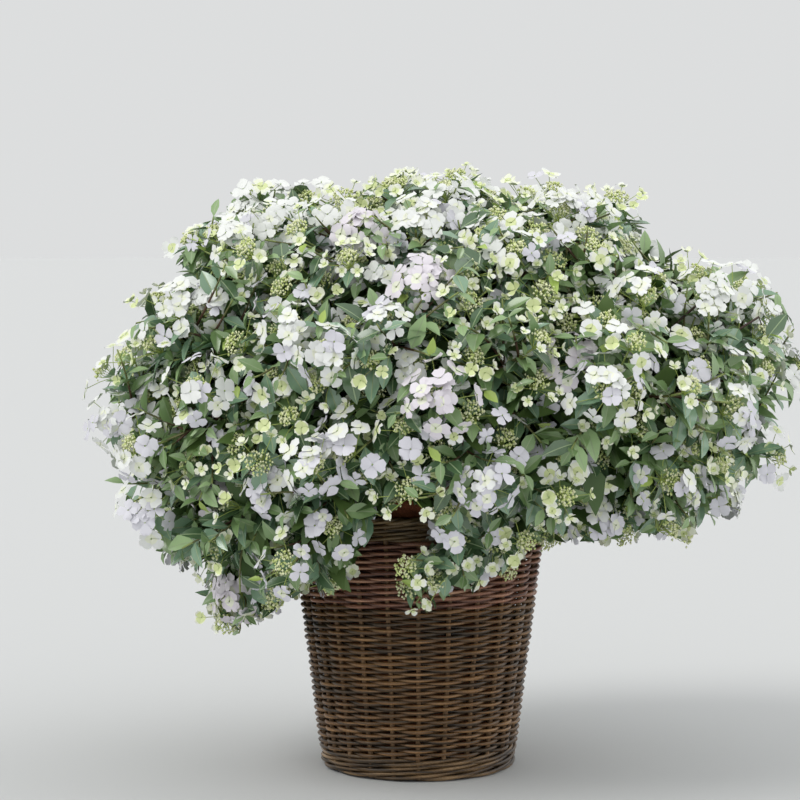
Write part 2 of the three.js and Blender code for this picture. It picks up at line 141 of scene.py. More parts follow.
def put_together(*groups):
    """Joins groups of (points, faces, faces...) into one: each group's face numbers go up by the number of
    points before it."""
    points, faces, before = [], [], 0
    for group in groups:
        points.append(group[0])
        faces += [f + before for f in group[1:]]
        before += len(group[0])
    return np.concatenate(points), faces


def piece_from(name, points, faces, materials, dealt=None):
    """A smooth mesh piece that rides on the root. faces is a list of whole-number arrays, one row a face;
    dealt is the list of material numbers that goes with it."""
    mesh = bpy.data.meshes.new(name)
    sizes = np.concatenate([np.full(len(f), f.shape[1]) for f in faces])
    corners = np.concatenate([f.ravel() for f in faces])
    mesh.vertices.add(len(points))
    mesh.vertices.foreach_set("co", np.ascontiguousarray(points, np.float32).ravel())
    mesh.loops.add(len(corners))
    mesh.loops.foreach_set("vertex_index", corners.astype(np.int32))
    mesh.polygons.add(len(sizes))
    mesh.polygons.foreach_set("loop_start", (np.cumsum(sizes) - sizes).astype(np.int32))
    mesh.polygons.foreach_set("use_smooth", np.ones(len(sizes), bool))
    for material in materials:
        mesh.materials.append(material)
    if dealt is not None:
        mesh.polygons.foreach_set("material_index", np.concatenate(dealt).astype(np.int32))
    mesh.update(calc_edges=True)
    mesh.validate()
    piece = bpy.data.objects.new(name, mesh)
    bpy.context.scene.collection.objects.link(piece)
    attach(piece, "root")
    return piece


def paint(red, green, blue):
    """A colour given in steps of 0 to 255, turned to the linear scale that a shader reads: a share of full
    becomes ((share + 0.055) / 1.055) to the power 2.4, or share / 12.92 where it is dark."""
    shares = np.array([red, green, blue]) / 255
    linear = np.where(shares <= 0.04045, shares / 12.92, ((shares + 0.055) / 1.055) ** 2.4)
    return (*linear.tolist(), 1.0)


def add_node(tree, kind, inputs, **settings):
    """A shader node: each input is linked where another node's output is given, or else set to the value."""
    node = tree.nodes.new("ShaderNode" + kind)
    for name, value in settings.items():
        setattr(node, name, value)
    for socket, value in inputs.items():
        if isinstance(value, bpy.types.NodeSocket):
            tree.links.new(value, node.inputs[socket])
        else:
            node.inputs[socket].default_value = value
    return node


def ranged(tree, value, span, result):
    """A shader value carried from one span of numbers to another, and held at its ends."""
    ends = {"From Min": span[0], "From Max": span[1], "To Min": result[0], "To Max": result[1]}
    return add_node(tree, "MapRange", {"Value": value, **ends}).outputs["Result"]


def grained(name, colours, stretch, fine, roughness, relief, depth, recessed=None, proud=0.0045):
    """A natural surface: two noises in Object coordinates, one drawn out by stretch and one fine, are added
    and pick from a row of colours. The same sum lifts the surface by relief, and the fine one varies the
    roughness. On the basket the colour is also multiplied by a share that grows with how far a point stands
    out from the side, from recessed to full where it is proud: painted shade and dust between the rods."""
    material = bpy.data.materials.new(name)
    material.use_nodes = True
    tree = material.node_tree
    place = add_node(tree, "TexCoord", {}).outputs["Object"]
    drawn = add_node(tree, "Mapping", {"Vector": place, "Scale": stretch}).outputs["Vector"]
    broad = add_node(tree, "TexNoise", {"Vector": drawn, "Scale": 1.0, "Detail": 3.0}).outputs["Fac"]
    close = add_node(tree, "TexNoise", {"Vector": place, "Scale": fine, "Detail": 5.0, "Roughness": 0.65})
    close = close.outputs["Fac"]
    both = add_node(tree, "Mix", {0: FINE_SHARE, 2: broad, 3: close}, data_type="FLOAT").outputs[0]
    ramp = add_node(tree, "ValToRGB", {"Fac": both})
    row = ramp.color_ramp.elements
    for i, colour in enumerate(colours):
        share = COLOURS_FROM + COLOURS_OVER * i / (len(colours) - 1)
        stop = row[i] if i < 2 else row.new(share)
        stop.position = share
        stop.color = paint(*colour)
    colour = ramp.outputs["Color"]
    if recessed is not None:
        x, y, z = add_node(tree, "SeparateXYZ", {"Vector": place}).outputs
        level = add_node(tree, "CombineXYZ", {"X": x, "Y": y}).outputs["Vector"]
        radius = add_node(tree, "VectorMath", {0: level}, operation="LENGTH").outputs["Value"]
        side = add_node(tree, "Math", {0: z, 1: BASKET_SLOPE, 2: BASKET_FOOT_R}, operation="MULTIPLY_ADD")
        out = add_node(tree, "Math", {0: radius, 1: side.outputs["Value"]}, operation="SUBTRACT")
        # Painted shade and dust: the colour falls from full where a rod is proud to recessed where it lies
        # deep.
        shade = ranged(tree, out.outputs["Value"], (DUST_AND_SHADE_FROM, proud), (recessed, 1.0))
        tinted = add_node(tree, "Mix", {0: 1.0, 6: colour, 7: shade}, data_type="RGBA", blend_type="MULTIPLY")
        colour = tinted.outputs[2]
    shader = tree.nodes["Principled BSDF"]
    bump = add_node(tree, "Bump", {"Strength": relief, "Distance": depth, "Height": both})
    tree.links.new(colour, shader.inputs["Base Color"])
    tree.links.new(ranged(tree, close, (0.3, 0.7), roughness), shader.inputs["Roughness"])
    tree.links.new(bump.outputs["Normal"], shader.inputs["Normal"])
    return material


def woven_rows(low, high, chance):
    """Rows of rods round the basket. A row's radius is the side's own radius plus a swing of
    cos(12 turns + half a turn for every other row); its height climbs by sin of the same angle, and wanders
    a little on slow waves of its own."""
    count = round((high - low) / ROW_RISE)
    turn = turns(STAKES * STEPS_BETWEEN_STAKES)
    level = (low + (np.arange(count) + 0.5) * (high - low) / count)[:, None]
    weave = STAKES / 2 * turn + np.pi * np.arange(count)[:, None]
    wander = 0
    for waves in ROW_WAVES:
        angle = waves * turn + chance.uniform(0, 2 * np.pi, (count, 1))
        wander = wander + np.sin(angle) * chance.normal(0, ROW_WANDER, (count, 1))
    z = level + WEAVE_SLOPE * np.sin(weave) + wander
    swing = WEAVE_SWING * (1 + SWING_UNEVEN * chance.standard_normal((count, 1)))
    r = basket_radius(level) - WEAVE_DEPTH + swing * np.cos(weave)
    lengths = chance.uniform(-1, 1, (count, STAKES // 2)).repeat(2 * STEPS_BETWEEN_STAKES, axis=1)
    lengths = np.roll(lengths, STEPS_BETWEEN_STAKES // 2, axis=1)
    thick = ROD_R * (1 + ROD_UNEVEN * chance.uniform(-1, 1, (count, 1)) + ROD_UNEVEN * lengths)
    return rods(about_axis(r, turn, z), thick, ROD_SIDES, closed=True)


# The woven willows darken as painted shade and dust where the rods lie deep between the others.
brown_willow = grained(
    "brown_willow", [(40, 30, 18), (71, 55, 35), (117, 82, 46), (160, 124, 82)], **WEAVE_GRAIN, recessed=0.22
)
red_willow = grained(
    "red_willow", [(66, 41, 31), (115, 75, 59), (155, 108, 84), (190, 148, 118)], **WEAVE_GRAIN, recessed=0.26
)
chance = np.random.default_rng(11)
for name, low, high, willow, slot in (
    ("basket_weave_lower", WEAVE_LOW, WEAVE_CHANGE, brown_willow, "willow"),
    ("basket_weave_upper", WEAVE_CHANGE, WEAVE_HIGH, red_willow, "rim_willow"),
):
    points, quads = woven_rows(low, high, chance)
    weave = piece_from(name, points, [quads], [willow])
    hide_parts("basket_wall")

# Stakes and base
# The stakes are stouter willow, pushed into the base and bent up. The base is woven flat, round and round,
# from the same rods, and lies hidden under the pot.
STAKE_R = 0.0042
STAKE_FOOT = 0.004
STAKE_TOP = BASKET_HEIGHT - 0.006
STAKE_STATIONS = 12
STAKE_WANDER = 0.004
BASE_ROD_R = 0.0026
BASE_FIRST_R = 0.016
BASE_LAST_R = 0.150
BASE_LEVEL = 0.0066
BASE_SWING = 0.0016
BASE_WAVES = 8
BASE_STEPS = 64

old_willow = grained(
    "old_willow", [(66, 48, 30), (104, 78, 50), (134, 104, 72)], (120, 120, 14), 800, (0.5, 0.75), 0.5, 0.0005
)
turn = turns(STAKES)[:, None] + chance.normal(0, STAKE_WANDER, (STAKES, STAKE_STATIONS))
z = np.linspace(STAKE_FOOT, STAKE_TOP, STAKE_STATIONS)
stakes = rods(about_axis(basket_radius(z) - WEAVE_DEPTH, turn, z), np.full(turn.shape, STAKE_R), ROD_SIDES)
rounds = int((BASE_LAST_R - BASE_FIRST_R) / (2 * BASE_ROD_R))
turn = turns(BASE_STEPS)
r = np.linspace(BASE_FIRST_R, BASE_LAST_R, rounds)[:, None]
z = BASE_LEVEL + BASE_SWING * np.cos(BASE_WAVES * turn + np.pi * np.arange(rounds)[:, None])
base = rods(about_axis(r, turn, z), np.full(z.shape, BASE_ROD_R), 4, closed=True)
points, faces = put_together(stakes, base)
stakes_and_base = piece_from("basket_stakes_and_base", points, faces, [old_willow])
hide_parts("basket_wall")

# Foot and rim
# Three rods at a time are twisted round the stakes like a rope: three rows of thick ones at the foot, three
# of thinner ones under the rim, and a rolled border on top that the stakes' own ends are bent down into.
FOOT_ROWS = (0.0085, 0.0195, 0.0305)
FOOT_ROD_R = 0.0035
FOOT_TWIST = (0.0046, 0.0042)
RIM_ROWS = (0.4015, 0.4110, 0.4205)
RIM_ROD_R = 0.0030
RIM_TWIST = (0.0038, 0.0032)
BORDER_LEVEL = 0.4295
BORDER_ROD_R = 0.0036
BORDER_TWIST = (0.0058, 0.0030)
WALE_DEPTH = 0.003
WALE_STEPS = 168
WALE_ROW_LAG = 1.1
WALE_SWELL = 0.1
WALE_GRAIN = {"stretch": (9, 9, 150), "fine": 800, "roughness": (0.32, 0.55), "relief": 0.5, "depth": 0.0005}


def twisted_rows(levels, rod, twist, strands, periods, chance):
    """Rope-like rows round the basket. Strand j of a row swings out by cos and up by sin of
    (periods x turn + j x full turn / strands), so that each strand shows as a slanting spindle."""
    turn = turns(WALE_STEPS)
    row = np.arange(len(levels)).repeat(strands)[:, None]
    strand = np.tile(np.arange(strands), len(levels))[:, None]
    angle = periods * turn + 2 * np.pi * strand / strands + WALE_ROW_LAG * row
    level = np.asarray(levels)[row]
    z = level + twist[1] * np.sin(angle)
    r = basket_radius(level) - WALE_DEPTH + twist[0] * np.cos(angle)
    swell = 1 + WALE_SWELL * np.sin(periods / 2 * turn + chance.uniform(0, 6, row.shape))
    return rods(about_axis(r, turn, z), rod * swell, ROD_SIDES, closed=True)


# The twisted rows darken as painted shade and dust between the rods, the foot's the most.
olive_willow = grained(
    "olive_willow", [(56, 44, 26), (90, 72, 42), (116, 94, 58), (142, 120, 82)], **WALE_GRAIN, recessed=0.30
)
foot_browns = [(34, 24, 13), (70, 53, 33), (122, 94, 60), (176, 144, 104)]
foot_willow = grained("foot_willow", foot_browns, **WALE_GRAIN, recessed=0.06, proud=0.0074)
points, quads = twisted_rows(FOOT_ROWS, FOOT_ROD_R, FOOT_TWIST, 3, STAKES // 5, chance)
foot = piece_from("foot_wale_rods", points, [quads], [foot_willow])
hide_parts("basket_foot_wale")
under = twisted_rows(RIM_ROWS, RIM_ROD_R, RIM_TWIST, 3, STAKES // 3, chance)
border = twisted_rows((BORDER_LEVEL,), BORDER_ROD_R, BORDER_TWIST, 4, STAKES // 2, chance)
points, faces = put_together(under, border)
rim = piece_from("rim_wale_rods", points, faces, [olive_willow])
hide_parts("basket_rim_wale")

# Clay pot
# A thrown terracotta pot with a thick lip stands inside the basket. The clay is fired orange-brown, marked
# with fine rings from turning and with pale lime and dark damp stains.
POT_FLOOR = 0.0123
POT_HEIGHT = 0.448
POT_TOP_R = 0.186
POT_FOOT_R = 0.128
POT_WALL = 0.011
POT_LIP_DEEP = 0.042
POT_LIP_PROUD = 0.005
AXIS_R = 0.0005
TURNED_STEPS = 96


def turned(profile, steps, relief=(0, 0)):
    """A profile of (radius, height) pairs turned about the upright axis. relief adds to radius and height,
    one row for each pair."""
    profile = np.asarray(profile)
    points = about_axis(profile[:, :1] + relief[0], turns(steps), profile[:, 1:] + relief[1])
    at = np.arange(len(profile) * steps).reshape(-1, steps)
    return points.reshape(-1, 3), quads_on(at.take(range(steps + 1), axis=1, mode="wrap")).reshape(-1, 4)


def pot_radius(z):
    """Outer radius of the pot at a height: a straight line from foot to top."""
    return POT_FOOT_R + (POT_TOP_R - POT_FOOT_R) * (z - POT_FLOOR) / POT_HEIGHT


pot_inside = POT_FLOOR + POT_WALL
lip_top = POT_FLOOR + POT_HEIGHT
lip_low = lip_top - POT_LIP_DEEP
lip_r = POT_TOP_R + POT_LIP_PROUD
mouth_r = POT_TOP_R - POT_WALL
# Fractions of a millimetre to a few millimetres round off the foot, the lip and the mouth.
pot_profile = [
    (AXIS_R, POT_FLOOR),
    (POT_FOOT_R * 0.6, POT_FLOOR),
    (POT_FOOT_R - 0.003, POT_FLOOR),
    (POT_FOOT_R, POT_FLOOR + 0.003),
    (pot_radius(0.12), 0.12),
    (pot_radius(0.24), 0.24),
    (pot_radius(0.34), 0.34),
    (pot_radius(lip_low - 0.004), lip_low - 0.004),
    (pot_radius(lip_low) + 0.0004, lip_low),
    (pot_radius(lip_low) + POT_LIP_PROUD - 0.0008, lip_low + 0.0012),
    (pot_radius(lip_low) + POT_LIP_PROUD + 0.0006, lip_low + 0.003),
    (lip_r - 0.0006, lip_top - 0.008),
    (lip_r, lip_top - 0.004),
    (lip_r - 0.001, lip_top - 0.0012),
    (lip_r - 0.003, lip_top),
    (mouth_r + 0.003, lip_top),
    (mouth_r + 0.0008, lip_top - 0.0014),
    (mouth_r - 0.0005, lip_top - 0.005),
    (pot_radius(0.3) - POT_WALL, 0.3),
    (pot_radius(pot_inside) - POT_WALL, pot_inside),
    (AXIS_R, pot_inside),
]
clays = [(88, 50, 32), (146, 84, 54), (172, 102, 68), (188, 134, 102)]
terracotta = grained("terracotta", clays, (14, 14, 60), 420, (0.75, 0.95), 0.35, 0.0006)
points, quads = turned(pot_profile, TURNED_STEPS)
pot = piece_from("clay_pot_turned", points, [quads], [terracotta])
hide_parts("clay_pot")

# Soil
# Dark crumbly potting soil fills the pot to a few centimetres below its lip, with crumbs of all sizes on top.
SOIL_TOP = 0.4223
SOIL_SUNK = 0.004
SOIL_OFF_FLOOR = 0.0006
SOIL_OFF_WALL = (0.001, 0.0008)
SOIL_CENTRE_R = 0.004
SOIL_RINGS = 56
SOIL_STEPS = 200
CRUMB = 0.0034
LUMP_SHARE = 2.2


def smoothed(values, rounds):
    """A grid of numbers, each made the mean of itself and its four neighbours, so many times over."""
    for _ in range(rounds):
        near = [np.roll(values, step, axis) for axis in (0, 1) for step in (1, -1)]
        values = sum(near, values) / 5
    return values


soil_low = pot_inside + SOIL_OFF_FLOOR
soil_profile = [(AXIS_R, soil_low), (pot_radius(soil_low) - POT_WALL - SOIL_OFF_WALL[0], soil_low)]
for r in np.linspace(pot_radius(SOIL_TOP) - POT_WALL - SOIL_OFF_WALL[1], SOIL_CENTRE_R, SOIL_RINGS):
    soil_profile.append((r, SOIL_TOP - SOIL_SUNK))
lumps = smoothed(chance.normal(0, 1, (SOIL_RINGS, SOIL_STEPS)), 1)
lumps = lumps + LUMP_SHARE * smoothed(chance.normal(0, 1, (SOIL_RINGS, SOIL_STEPS)), 5)
lumps = np.concatenate([np.zeros((2, SOIL_STEPS)), np.abs(lumps) * CRUMB])
lumps[2] = 0
earths = [(22, 16, 11), (44, 33, 24), (64, 49, 36), (92, 76, 58)]
soil_black = grained("soil_black", earths, (60, 60, 60), 520, (0.85, 1.0), 0.8, 0.002)
points, quads = turned(soil_profile, SOIL_STEPS, (0, lumps))
soil = piece_from("soil_crumbs", points, [quads], [soil_black])
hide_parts("soil")

# Stool
# The woody foot of the shrub, as broad as two hands, knotted by years of cutting back, with rough
# grey-brown bark that splits along its length.
STOOL_R = 0.052
STOOL_HEIGHT = 0.058
STOOL_FLARE = 0.014
STOOL_STEPS = 72
STOOL_RINGS = 22
STOOL_OFF_SOIL = 0.0003
KNOB = 0.0042
RIB_SHARE = 1.4
KNOT_SHARE = 1.8
CALM_FROM = 2.4

shape_r = [STOOL_R + STOOL_FLARE, STOOL_R, STOOL_R * 0.86, STOOL_R * 0.55, 0.002]
shape_z = [0, STOOL_HEIGHT * 0.28, STOOL_HEIGHT * 0.6, STOOL_HEIGHT * 0.88, STOOL_HEIGHT]
share = np.linspace(0, 4, STOOL_RINGS)
stool_r = np.interp(share, range(5), shape_r)
stool_z = SOIL_TOP + STOOL_OFF_SOIL + np.interp(share, range(5), shape_z)
ribs = smoothed(chance.normal(0, 1, (1, STOOL_STEPS)), 1) * RIB_SHARE
ribs = ribs + KNOT_SHARE * smoothed(chance.normal(0, 1, (STOOL_RINGS, STOOL_STEPS)), 3)
calm = np.minimum(1, np.linspace(CALM_FROM, 0, STOOL_RINGS))[:, None]
barks = [(44, 33, 25), (84, 66, 50), (116, 96, 76), (146, 128, 106)]
bark = grained("stem_bark", barks, (110, 110, 26), 380, (0.7, 0.95), 0.7, 0.0012)
points, quads = turned(np.stack([stool_r, stool_z], -1), STOOL_STEPS, (ribs * KNOB * calm, 0))
stool = piece_from("stool_bark", points, [quads], [bark])
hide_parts("stool")

# Boughs
# One arching bough for each of the crown's twenty-four masses springs from the stool, the low ones further
# out and lower down. The bark is grey-brown, with shallow ridges and a swelling at each old pair of buds.
HEART = np.array([0.030, 0.0, 0.600])
# The crown's reach in mm, seen from the front, at sixteen even steps from the right, going up first.
FRONT_REACH = [622, 596, 474, 402, 394, 390, 496, 528, 583, 562, 515, 392, 352, 318, 350, 512]
DEPTH_REACH = 0.520
BACK_SHARE = 0.96
# A tier's name, masses, lift and first turn, how steeply its boughs leave, and how far out on the stool.
TIERS = (
    ("top", 3, 66, 35, 84, 0.24),
    ("upper", 6, 34, 8, 66, 0.5),
    ("middle", 8, 6, 0, 46, 0.8),
    ("skirt", 7, -25, -70, 26, 1.0),
)
MASS_CENTRE = 0.68
BOUGH_END = 0.43
BOUGH_R = (0.0082, 0.0046)
BOUGH_STATIONS = 30
BOUGH_SIDES = 12
ROOT_SPREAD = 0.72
ROOT_HIGHEST = 0.9
BEND_AT = 0.55
BEND_RAISED = 0.030
OLD_BUDS = 4.5
BUD_SWELL = 0.16
BUD_SHARP = 6
RIDGE_DEPTH = 0.10
UP = np.array([0.0, 0.0, 1.0])


def reach_along(direction):
    """How far the crown goes from its heart: seen from the front the reach is read from sixteen even steps,
    eased between them by 3s^2 - 2s^3; that and the depth join as the reach of an ellipse."""
    flat = np.hypot(direction[..., 0], direction[..., 2])
    steps = len(FRONT_REACH)
    place = np.arctan2(direction[..., 2], direction[..., 0]) / (2 * np.pi) * steps % steps
    low = np.floor(place).astype(int)
    share = place - low
    soft = share * share * (3 - 2 * share)
    reach = np.array(FRONT_REACH) / 1000
    front = reach[low % steps] * (1 - soft) + reach[(low + 1) % steps] * soft
    depth = DEPTH_REACH * np.where(direction[..., 1] > 0, BACK_SHARE, 1)
    return 1 / np.hypot(flat / front, direction[..., 1] / depth)


def pointing(turn, lift):
    """A direction from its turn about the upright axis and its lift above level, both in radians."""
    return np.stack([np.cos(lift) * np.cos(turn), np.cos(lift) * np.sin(turn), np.sin(lift) + 0 * turn], -1)


def bent(start, bend, end, stations):
    """Points along curves that leave start toward bend and reach end: (1-t)^2, 2t(1-t) and t^2 of them."""
    t = np.linspace(0, 1, stations)[None, :, None]
    return (1 - t) ** 2 * start[:, None] + 2 * t * (1 - t) * bend[:, None] + t**2 * end[:, None]


mass_names, mass_out, mass_tier, leave, root_share = [], [], [], [], []
for level, (tier, count, lift, first, leaving, root) in enumerate(TIERS):
    for i in range(count):
        mass_names.append(f"{tier}_{i + 1}")
        mass_out.append(pointing(np.radians(first + 360 * i / count), np.radians(lift)))
        mass_tier.append(level)
        leave.append(leaving)
        root_share.append(root)
mass_out, mass_tier = np.array(mass_out), np.array(mass_tier)
leave, root_share = np.radians(leave), np.array(root_share)
masses = np.arange(len(mass_out))
mass_centre = HEART + mass_out * (reach_along(mass_out) * MASS_CENTRE)[:, None]
bough_end = HEART + mass_out * (reach_along(mass_out) * BOUGH_END)[:, None]
away = np.arctan2(bough_end[:, 1], bough_end[:, 0])
root_z = SOIL_TOP + STOOL_HEIGHT * (ROOT_HIGHEST - ROOT_SPREAD * root_share)
bough_start = about_axis(STOOL_R * ROOT_SPREAD * root_share, away, root_z)
span = np.linalg.norm(bough_end - bough_start, axis=1)
bough_bend = bough_start + pointing(away, leave) * (span * BEND_AT)[:, None]
bough_bend[:, 2] += BEND_RAISED * np.cos(leave)
bough_paths = bent(bough_start, bough_bend, bough_end, BOUGH_STATIONS)
along = np.linspace(0, 1, BOUGH_STATIONS)[None]
off_bud = np.abs(np.sin(np.pi * (along * OLD_BUDS + chance.uniform(0, 1, (len(masses), 1)))))
bough_radii = BOUGH_R[0] + (BOUGH_R[1] - BOUGH_R[0]) * along
bough_radii = bough_radii * (1 + BUD_SWELL * np.maximum(0, 1 - off_bud * BUD_SHARP))
points, quads, ends = rods(bough_paths, bough_radii, BOUGH_SIDES, capped=True)
ridges = 1 + RIDGE_DEPTH * smoothed(chance.normal(0, 1, (len(masses) * BOUGH_STATIONS, BOUGH_SIDES)), 1)
middles = np.repeat(bough_paths.reshape(-1, 3), BOUGH_SIDES, axis=0)
points = middles + (points - middles) * ridges.reshape(-1, 1)
boughs = piece_from("boughs_bark", points, [quads, ends], [bark])
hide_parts(*[f"bough_{name}" for name in mass_names])

# Twigs
# Each mass is one stem that forks into five long twigs. Flowering side shoots and short leafy shoots spring
# from those, brown where they are old and green at the tip. All of them keep to their own mass's space.
TWIGS = 5
CORE_CORNERS = 20
MASS_SEED = 1000
DRAW_STEP = 0x6D2B79F5
WORD = 0xFFFFFFFF
TWIG_LEAN = (58, 14)
TWIG_TURN_SHARE = 0.3
HEAD_MARGIN = 0.010
PLACE_MARGIN = 0.004
FAR_OFF = 9.0
NEARLY_UPRIGHT = 0.05
TIP_INSIDE = 0.008
TIP_SHARE = 0.99
ENVELOPE_SHARE = 0.985
ROOM_STEP = 0.003
TWIG_MOST = 0.400
TWIG_BOW = 0.010
ABOVE_LIP = 0.4663
OFF_BASKET = 0.014
PLACE_OFF_BASKET = 0.026
STATIONS = 7
TWIG_SIDES = 4
STEM_R = (0.0042, 0.0031)
TWIG_R = (0.0031, 0.0019)
SHOOT_R = (0.0021, 0.0013)
BARE_R = (0.0027, 0.0019)
STEM_BEND = 0.030
STEM_OFF_BOUGH = 0.0003
HEAD_STALK = 0.024
HEAD_OUT = 0.62
HEAD_LEVEL = 0.7
HEAD_UP = 0.30
HEAD_FORWARD = 0.14
HEAD_SPREAD = 0.10
LEAFY_UP = 0.25
LEAFY_SPREAD = 0.2
RIDGE_RISE = 1.6
RIDGE_BACK = (0.50, -0.25)
LEAN_CUT = 0.9
HEADS_APART = 0.066
HEADS_OFF_MAIN = HEADS_APART * 0.92
LEAFY_APART = 0.048
LEAFY_OFF_HEADS = 0.032
HEAD_DEPTHS = (0.0, 0.11)
LEAFY_DEPTHS = (-0.03, 0.17)
TRIES = 30000
CLOSER_SHARE = 0.16
CLOSER_HEIGHTS = (0.72, 0.2)
SHOOT_LENGTHS = (0.045, 0.240)
COST_OUTER = 3
COST_SHORT = 2
COST_OTHER_MASS = 9
COST_DEPTH = 0.35
SHOOT_OUTWARD = 0.08
SHOOT_SPREAD = 0.15
SHOOT_LEAVES = 0.5
SHOOT_ARRIVES = 0.45
TUFT_TRIES = 4000
TUFTS_APART = 0.17
TUFT_LEVELS = (0.86, 1.0)
TUFT_ROUND = 0.41
LEFT_SKIRT, RIGHT_SKIRT = 23, 17
SKIRTS_MEET = -0.035
# The sprays' outline seen from the front: turns from the right in degrees, and reach from the heart in mm.
OUTLINE_TURNS = [0, 12, 21, 27, 30, 36, 44, 55, 62, 70, 79, 89, 99, 112, 122, 131, 140, 155, 162, 171, 180]
OUTLINE_TURNS += [190, 197, 202, 207, 216, 221, 230, 234, 246, 258, 270, 282, 298, 306, 315, 322, 336, 342]
OUTLINE_TURNS += [352, 360]
OUTLINE_REACH = [605, 615, 622, 500, 430, 440, 470, 473, 438, 358, 388, 392, 392, 367, 460, 495, 500, 524]
OUTLINE_REACH += [533, 560, 588, 572, 578, 550, 528, 480, 545, 505, 385, 362, 350, 384, 340, 305, 290, 300]
OUTLINE_REACH += [345, 478, 540, 590, 605]
# All places seen from the front are x and z in metres on the upright plane through the basket's axis: the
# sides of the parting over the rim, the crown's hem, and the heads that show whole, in white and in blush.
# A bare stem's ends are given there too, with the depth y of each between its x and z.
PARTING_Z = [0.20, 0.24, 0.27, 0.335, 0.36, 0.405, 0.43]
PARTING_LEFT = [-0.40, -0.125, -0.115, -0.105, -0.078, -0.060, -0.030]
PARTING_RIGHT = [0.15, 0.00, -0.030, -0.032, 0.020, 0.024, 0.0]
PARTING_DEPTH = -0.05
HEM_X = [-0.56, -0.525, -0.483, -0.442, -0.384, -0.294, -0.244, -0.195, -0.12, -0.03, 0.028, 0.102, 0.168]
HEM_X += [0.185, 0.30, 0.465, 0.548, 0.63]
HEM_Z = [0.50, 0.435, 0.402, 0.355, 0.232, 0.212, 0.25, 0.292, 0.275, 0.270, 0.225, 0.262, 0.336]
HEM_Z += [0.372, 0.372, 0.385, 0.42, 0.46]
HEM_DEPTH = 0.15
BARE_STEMS = (((0.345, -0.27, 0.653), (0.437, -0.22, 0.744)), ((0.381, -0.20, 0.630), (0.563, -0.14, 0.745)))
BARE_WIDTH = 0.026
BARE_BEFORE = 0.01
BARE_BELOW = 0.10
BARE_BEYOND = 0.05
FULL_PLACES = [(-0.03, 0.935), (0.02, 0.955), (0.07, 0.945), (0.255, 0.95), (0.30, 0.95), (-0.14, 0.905)]
FULL_PLACES += [(-0.26, 0.905), (-0.40, 0.79), (-0.34, 0.80), (-0.20, 0.765), (-0.39, 0.65), (-0.43, 0.60)]
FULL_PLACES += [(-0.463, 0.54), (-0.483, 0.48), (-0.51, 0.585), (-0.50, 0.415), (-0.20, 0.675), (-0.03, 0.68)]
FULL_PLACES += [(-0.12, 0.55), (-0.21, 0.50), (-0.23, 0.43), (-0.12, 0.43), (0.119, 0.41), (0.30, 0.60)]
FULL_PLACES += [(0.33, 0.42), (0.47, 0.43), (0.38, 0.775), (0.465, 0.766), (0.58, 0.79), (0.556, 0.61)]
BLUSH_PLACES = [(-0.34, 0.26), (0.046, 0.63), (0.036, 0.815)]
HEAD_CLEAR = 0.039
HEAD_NEARER = 0.012


def drawn_numbers(seed, count):
    """Numbers from 0 to 1 off a seeded generator: a counter that steps by a large odd number is multiplied
    and folded on itself in 32 bits, the same numbers that the solid masses were grown from."""
    numbers = []
    for number in range(1, count + 1):
        t = (seed + number * DRAW_STEP) & WORD
        t = ((t ^ (t >> 15)) * (t | 1)) & WORD
        t ^= (t + ((t ^ (t >> 7)) * (t | 61) & WORD)) & WORD
        numbers.append(((t ^ (t >> 14)) & WORD) / (WORD + 1))
    return numbers


def gap_to_neighbours(p, owner):
    """How far a point is inside its own mass's space: the least distance to the planes half way between its
    mass's centre and every other one."""
    squares = ((p[:, None] - mass_centre[None]) ** 2).sum(-1)
    own = squares[np.arange(len(p)), owner][:, None]
    apart = np.linalg.norm(mass_centre[owner][:, None] - mass_centre[None], axis=-1)
    gap = np.where(apart > 0, (squares - own) / (2 * np.maximum(apart, 1e-9)), FAR_OFF)
    return gap.min(axis=1)


def crown_share(p):
    """How far out a point is, as a share of the crown's reach in its direction."""
    arm = p - HEART
    return np.linalg.norm(arm, axis=-1) / reach_along(unit(arm))


def spray_reach(direction):
    """The reach of the flowering sprays, never past the crown's own. Seen from the front it follows the
    uneven outline of the crown, straight between its places, and that counts less, by the sixth power of
    the direction's share square to the view, toward the front and the back."""
    crown = reach_along(direction)
    flat = np.hypot(direction[..., 0], direction[..., 2])
    angle = np.degrees(np.arctan2(direction[..., 2], direction[..., 0])) % 360
    front = np.interp(angle, OUTLINE_TURNS, OUTLINE_REACH) / 1000
    uneven = 1 / np.hypot(flat / front, direction[..., 1] / DEPTH_REACH)
    return np.minimum(crown, crown + (uneven - crown) * flat**6)


def spray_share(p):
    """How far out a point is, as a share of the sprays' reach in its direction."""
    arm = p - HEART
    return np.linalg.norm(arm, axis=-1) / spray_reach(unit(arm))


def seen_from_front(p):
    """Where a point shows from the front on the upright plane through the basket's axis: its offset from
    the viewpoint times the plane's distance over the point's own."""
    eye = np.array(VIEWPOINT)
    return eye + (p - eye) * (-eye[1] / (p[..., 1:2] - eye[1]))


def parted(p):
    """Whether a point keeps above the crown's hem, and out of the partings at the front: one over the
    basket's rim, between the left and right sprays, and one before each bare stem."""
    shown = seen_from_front(p)
    x, z = shown[..., 0], shown[..., 2]
    left = np.interp(z, PARTING_Z, PARTING_LEFT)
    right = np.interp(z, PARTING_Z, PARTING_RIGHT)
    rim = (x > left) & (x < right) & (z < PARTING_Z[-1]) & (p[..., 1] < PARTING_DEPTH)
    rim |= (z < np.interp(x, HEM_X, HEM_Z)) & (p[..., 1] < HEM_DEPTH)
    before = np.zeros(rim.shape, bool)
    for a, b in BARE_STEMS:
        a, b = np.array(a), np.array(b)
        step = np.clip(((shown - a) @ (b - a)) / ((b - a) @ (b - a)), 0, 1)
        off = (shown - a - step[..., None] * (b - a))[..., [0, 2]]
        depth = a[1] + step * (b[1] - a[1])
        before |= (np.linalg.norm(off, axis=-1) < BARE_WIDTH) & (p[..., 1] < depth - BARE_BEFORE)
    return ~(rim | before)


